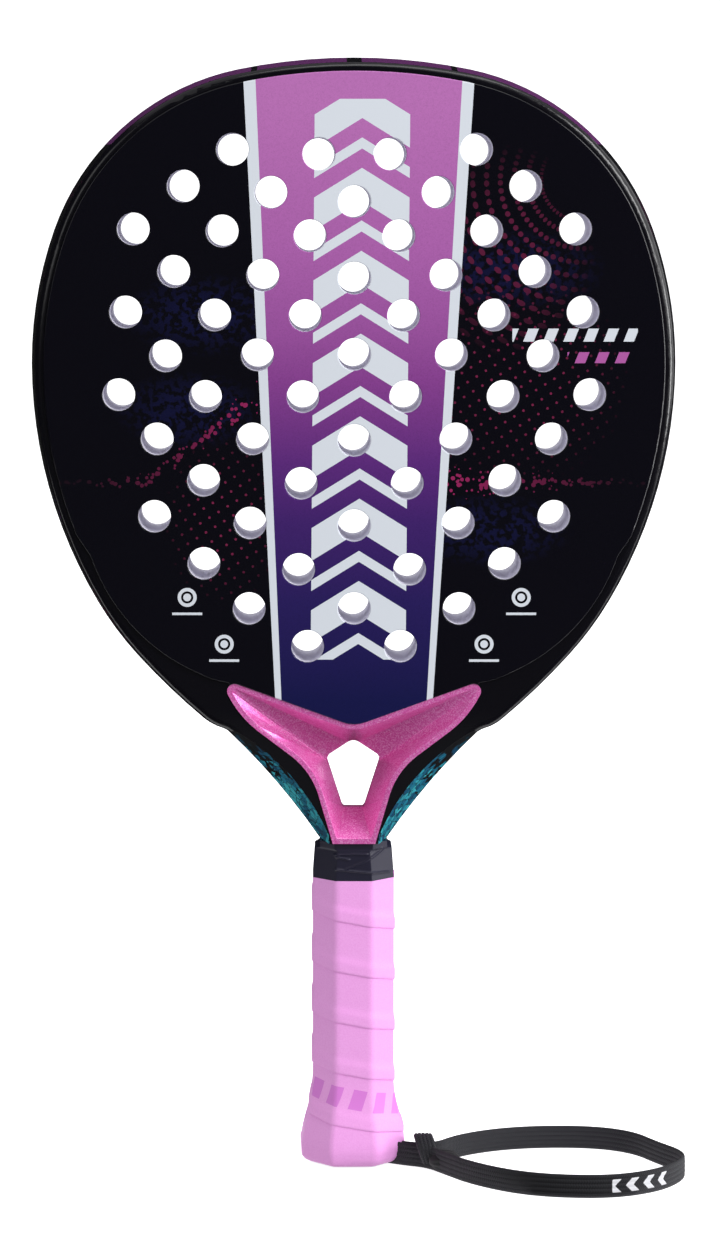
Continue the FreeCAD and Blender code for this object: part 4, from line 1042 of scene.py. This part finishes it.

# %% [markdown]
# ## The braid's finish
# The strap's cover is braided from polyester yarn about half a millimetre thick, in a herringbone along
# each rib. The yarn is drawn at 0.9 mm, as fine as it can be and still show. It is black with a blue
# cast, matt, with a fine sheen. Its colour is painted darker in the grooves between the yarns and
# lighter on their crests, as painted shade and painted highlight. Near the end of the loop is a small
# white mark, drawn here as three plain chevrons.

# %% Colour the braid
YARN = 0.9
YARN_SLOPE = 0.8
YARN_RELIEF = 0.16
braid, braid_shader, place = start_finish("braided_polyester", roughness=0.75, ior=1.5, sheen_weight=0.04)
uv_axes = add(braid, "SeparateXYZ", [add(braid, "UVMap", uv_map="UVMap")])
run, width = uv_axes.outputs["X"], uv_axes.outputs["Y"]
rib_pitch = STRAP_WIDTH / STRAP_RIBS
in_rib = add(braid, "Math", [width, rib_pitch / 2], operation="PINGPONG")
yarn_run = add(braid, "Math", [in_rib, YARN_SLOPE, run], operation="MULTIPLY_ADD")
yarns = add(braid, "Math", [yarn_run, YARN / 2], operation="PINGPONG")
yarn_height = add(braid, "MapRange", {"Value": yarns, "From Max": YARN / 2})
bump = add(braid, "Bump", {"Height": yarn_height, "Distance": YARN_RELIEF * MM, "Strength": 1.0})
feed(braid, braid_shader, "Normal", bump)
# The colour follows the yarn height: painted shade in the grooves between the yarns, painted highlight on
# their crests.
ink = ramp(braid, yarn_height, ((0, "#030308"), (1, "#12121F")))
MARK_RUN = (197.0, 12.5)
MARK_PITCH = 7.0
MARK_HALF = 2.6
ARROW_HALF = 1.5
ARROW_SLOPE = 0.9
face_middle = in_band(braid, width, STRAP_WIDTH / 2, MARK_HALF)
off_middle = distance_from(braid, width, STRAP_WIDTH / 2)
arrow = add(braid, "Math", [off_middle, ARROW_SLOPE, run], operation="MULTIPLY_ADD")
arrow_wave = add(braid, "Math", [arrow, MARK_PITCH / 2], operation="PINGPONG")
arrows = add(braid, "Math", [arrow_wave, ARROW_HALF], operation="LESS_THAN")
marked = all_of(braid, in_band(braid, run, *MARK_RUN), face_middle, arrows)
ink = lay_ink(braid, ink, linear("#E8E8EE"), marked)
feed(braid, braid_shader, "Base Color", ink)
wrist_strap.data.materials.append(braid)
strap_knot.data.materials.append(braid)
dress(braid, "cord_tail_knot")

# %% [markdown]
# ## What lies under the grip
# The handle is a carbon shaft filled with polyurethane foam, padded front and back by moulded foam
# pallets, closed by a nylon butt cap that two steel staples hold, and wrapped in a base grip. Little of
# it shows, but each piece keeps the finish that it has when the tape is off. The poured foam is cream
# and open, the pallets have a closed black skin, the nylon is a satin black, the wire a drawn bright
# steel, and the vinyl tape at the top of the grip is a pale film.

# %% Finish the inner pieces
INNER = (
    ("poured_foam", ("#C8B98E", "#DCD0AA"), 0.6, 0.2, {"roughness": 0.9, "ior": 1.45}, ["handle_foam_core"]),
    (
        "moulded_foam_skin", ("#2B2B30", "#36363C"), 1.2, 0.05, {"roughness": 0.6, "ior": 1.45},
        ["pallet_front", "pallet_rear"],
    ),
    ("moulded_nylon", ("#121216", "#1A1A20"), 0.25, 0.02, {"roughness": 0.45, "ior": 1.53}, ["butt_cap"]),
    (
        "drawn_steel_wire", ("#A8A8AC", "#C6C6CA"), 0.4, 0.01, {"roughness": 0.3, "metallic": 1.0},
        ["cap_staples"],
    ),
    (
        "vinyl_finishing_tape", ("#C9C9D2", "#D8D8E0"), 0.8, 0.01, {"roughness": 0.35, "ior": 1.5},
        ["finishing_tape"],
    ),
)
for name, tones, size, height, surface, bodies in INNER:
    finish, _ = plain_finish(name, tones, size, height, **surface)
    dress(finish, *bodies)

# %% [markdown]
# The base grip is a padded black tape with rows of punched holes, which let sweat through. Its holes
# are a pattern, painted near-black as painted shade inside them, and a dent in the finish, because the
# overgrip hides all but the ends of it.

# %% Punch the base grip
PORE_PITCH = 4.0
PORE_RADIUS = 0.45
base, base_shader, place = start_finish("perforated_base_grip", roughness=0.65, ior=1.48)
axes = add(base, "SeparateXYZ", [place])
pores = dots(base, axes.outputs["X"], axes.outputs["Z"], (PORE_PITCH, PORE_PITCH), PORE_RADIUS)
# The holes are painted near-black: painted shade inside them.
feed(base, base_shader, "Base Color", lay_ink(base, linear("#26262C"), linear("#0C0C10"), pores))
pore_bump = add(base, "Bump", {"Height": pores, "Distance": 0.2 * MM, "Strength": 1.0}, invert=True)
feed(base, base_shader, "Normal", pore_bump)
dress(base, "base_grip")

# %% [markdown]
# ## The paper sweep's finish
# Studio paper is white and matt, with a fine tooth. The flags are covered with black velvet.

# %% Colour the paper
paper, paper_shader = plain_finish(
    "studio_paper", ("#F2F2F4", "#F7F7F9"), 1.5, 0.02, roughness=0.95, ior=1.4, emission_strength=0.85,
)
paper_shader.inputs["Emission Color"].default_value = (1.0, 1.0, 1.0, 1.0)
sweep.data.materials.append(paper)

card, card_shader, place = start_finish("black_velvet_card", roughness=1.0, base_color=linear("#050506"))
grain(card, card_shader, place, 2.0, 0.2)
for flag in flags:
    flag.data.materials.append(card)
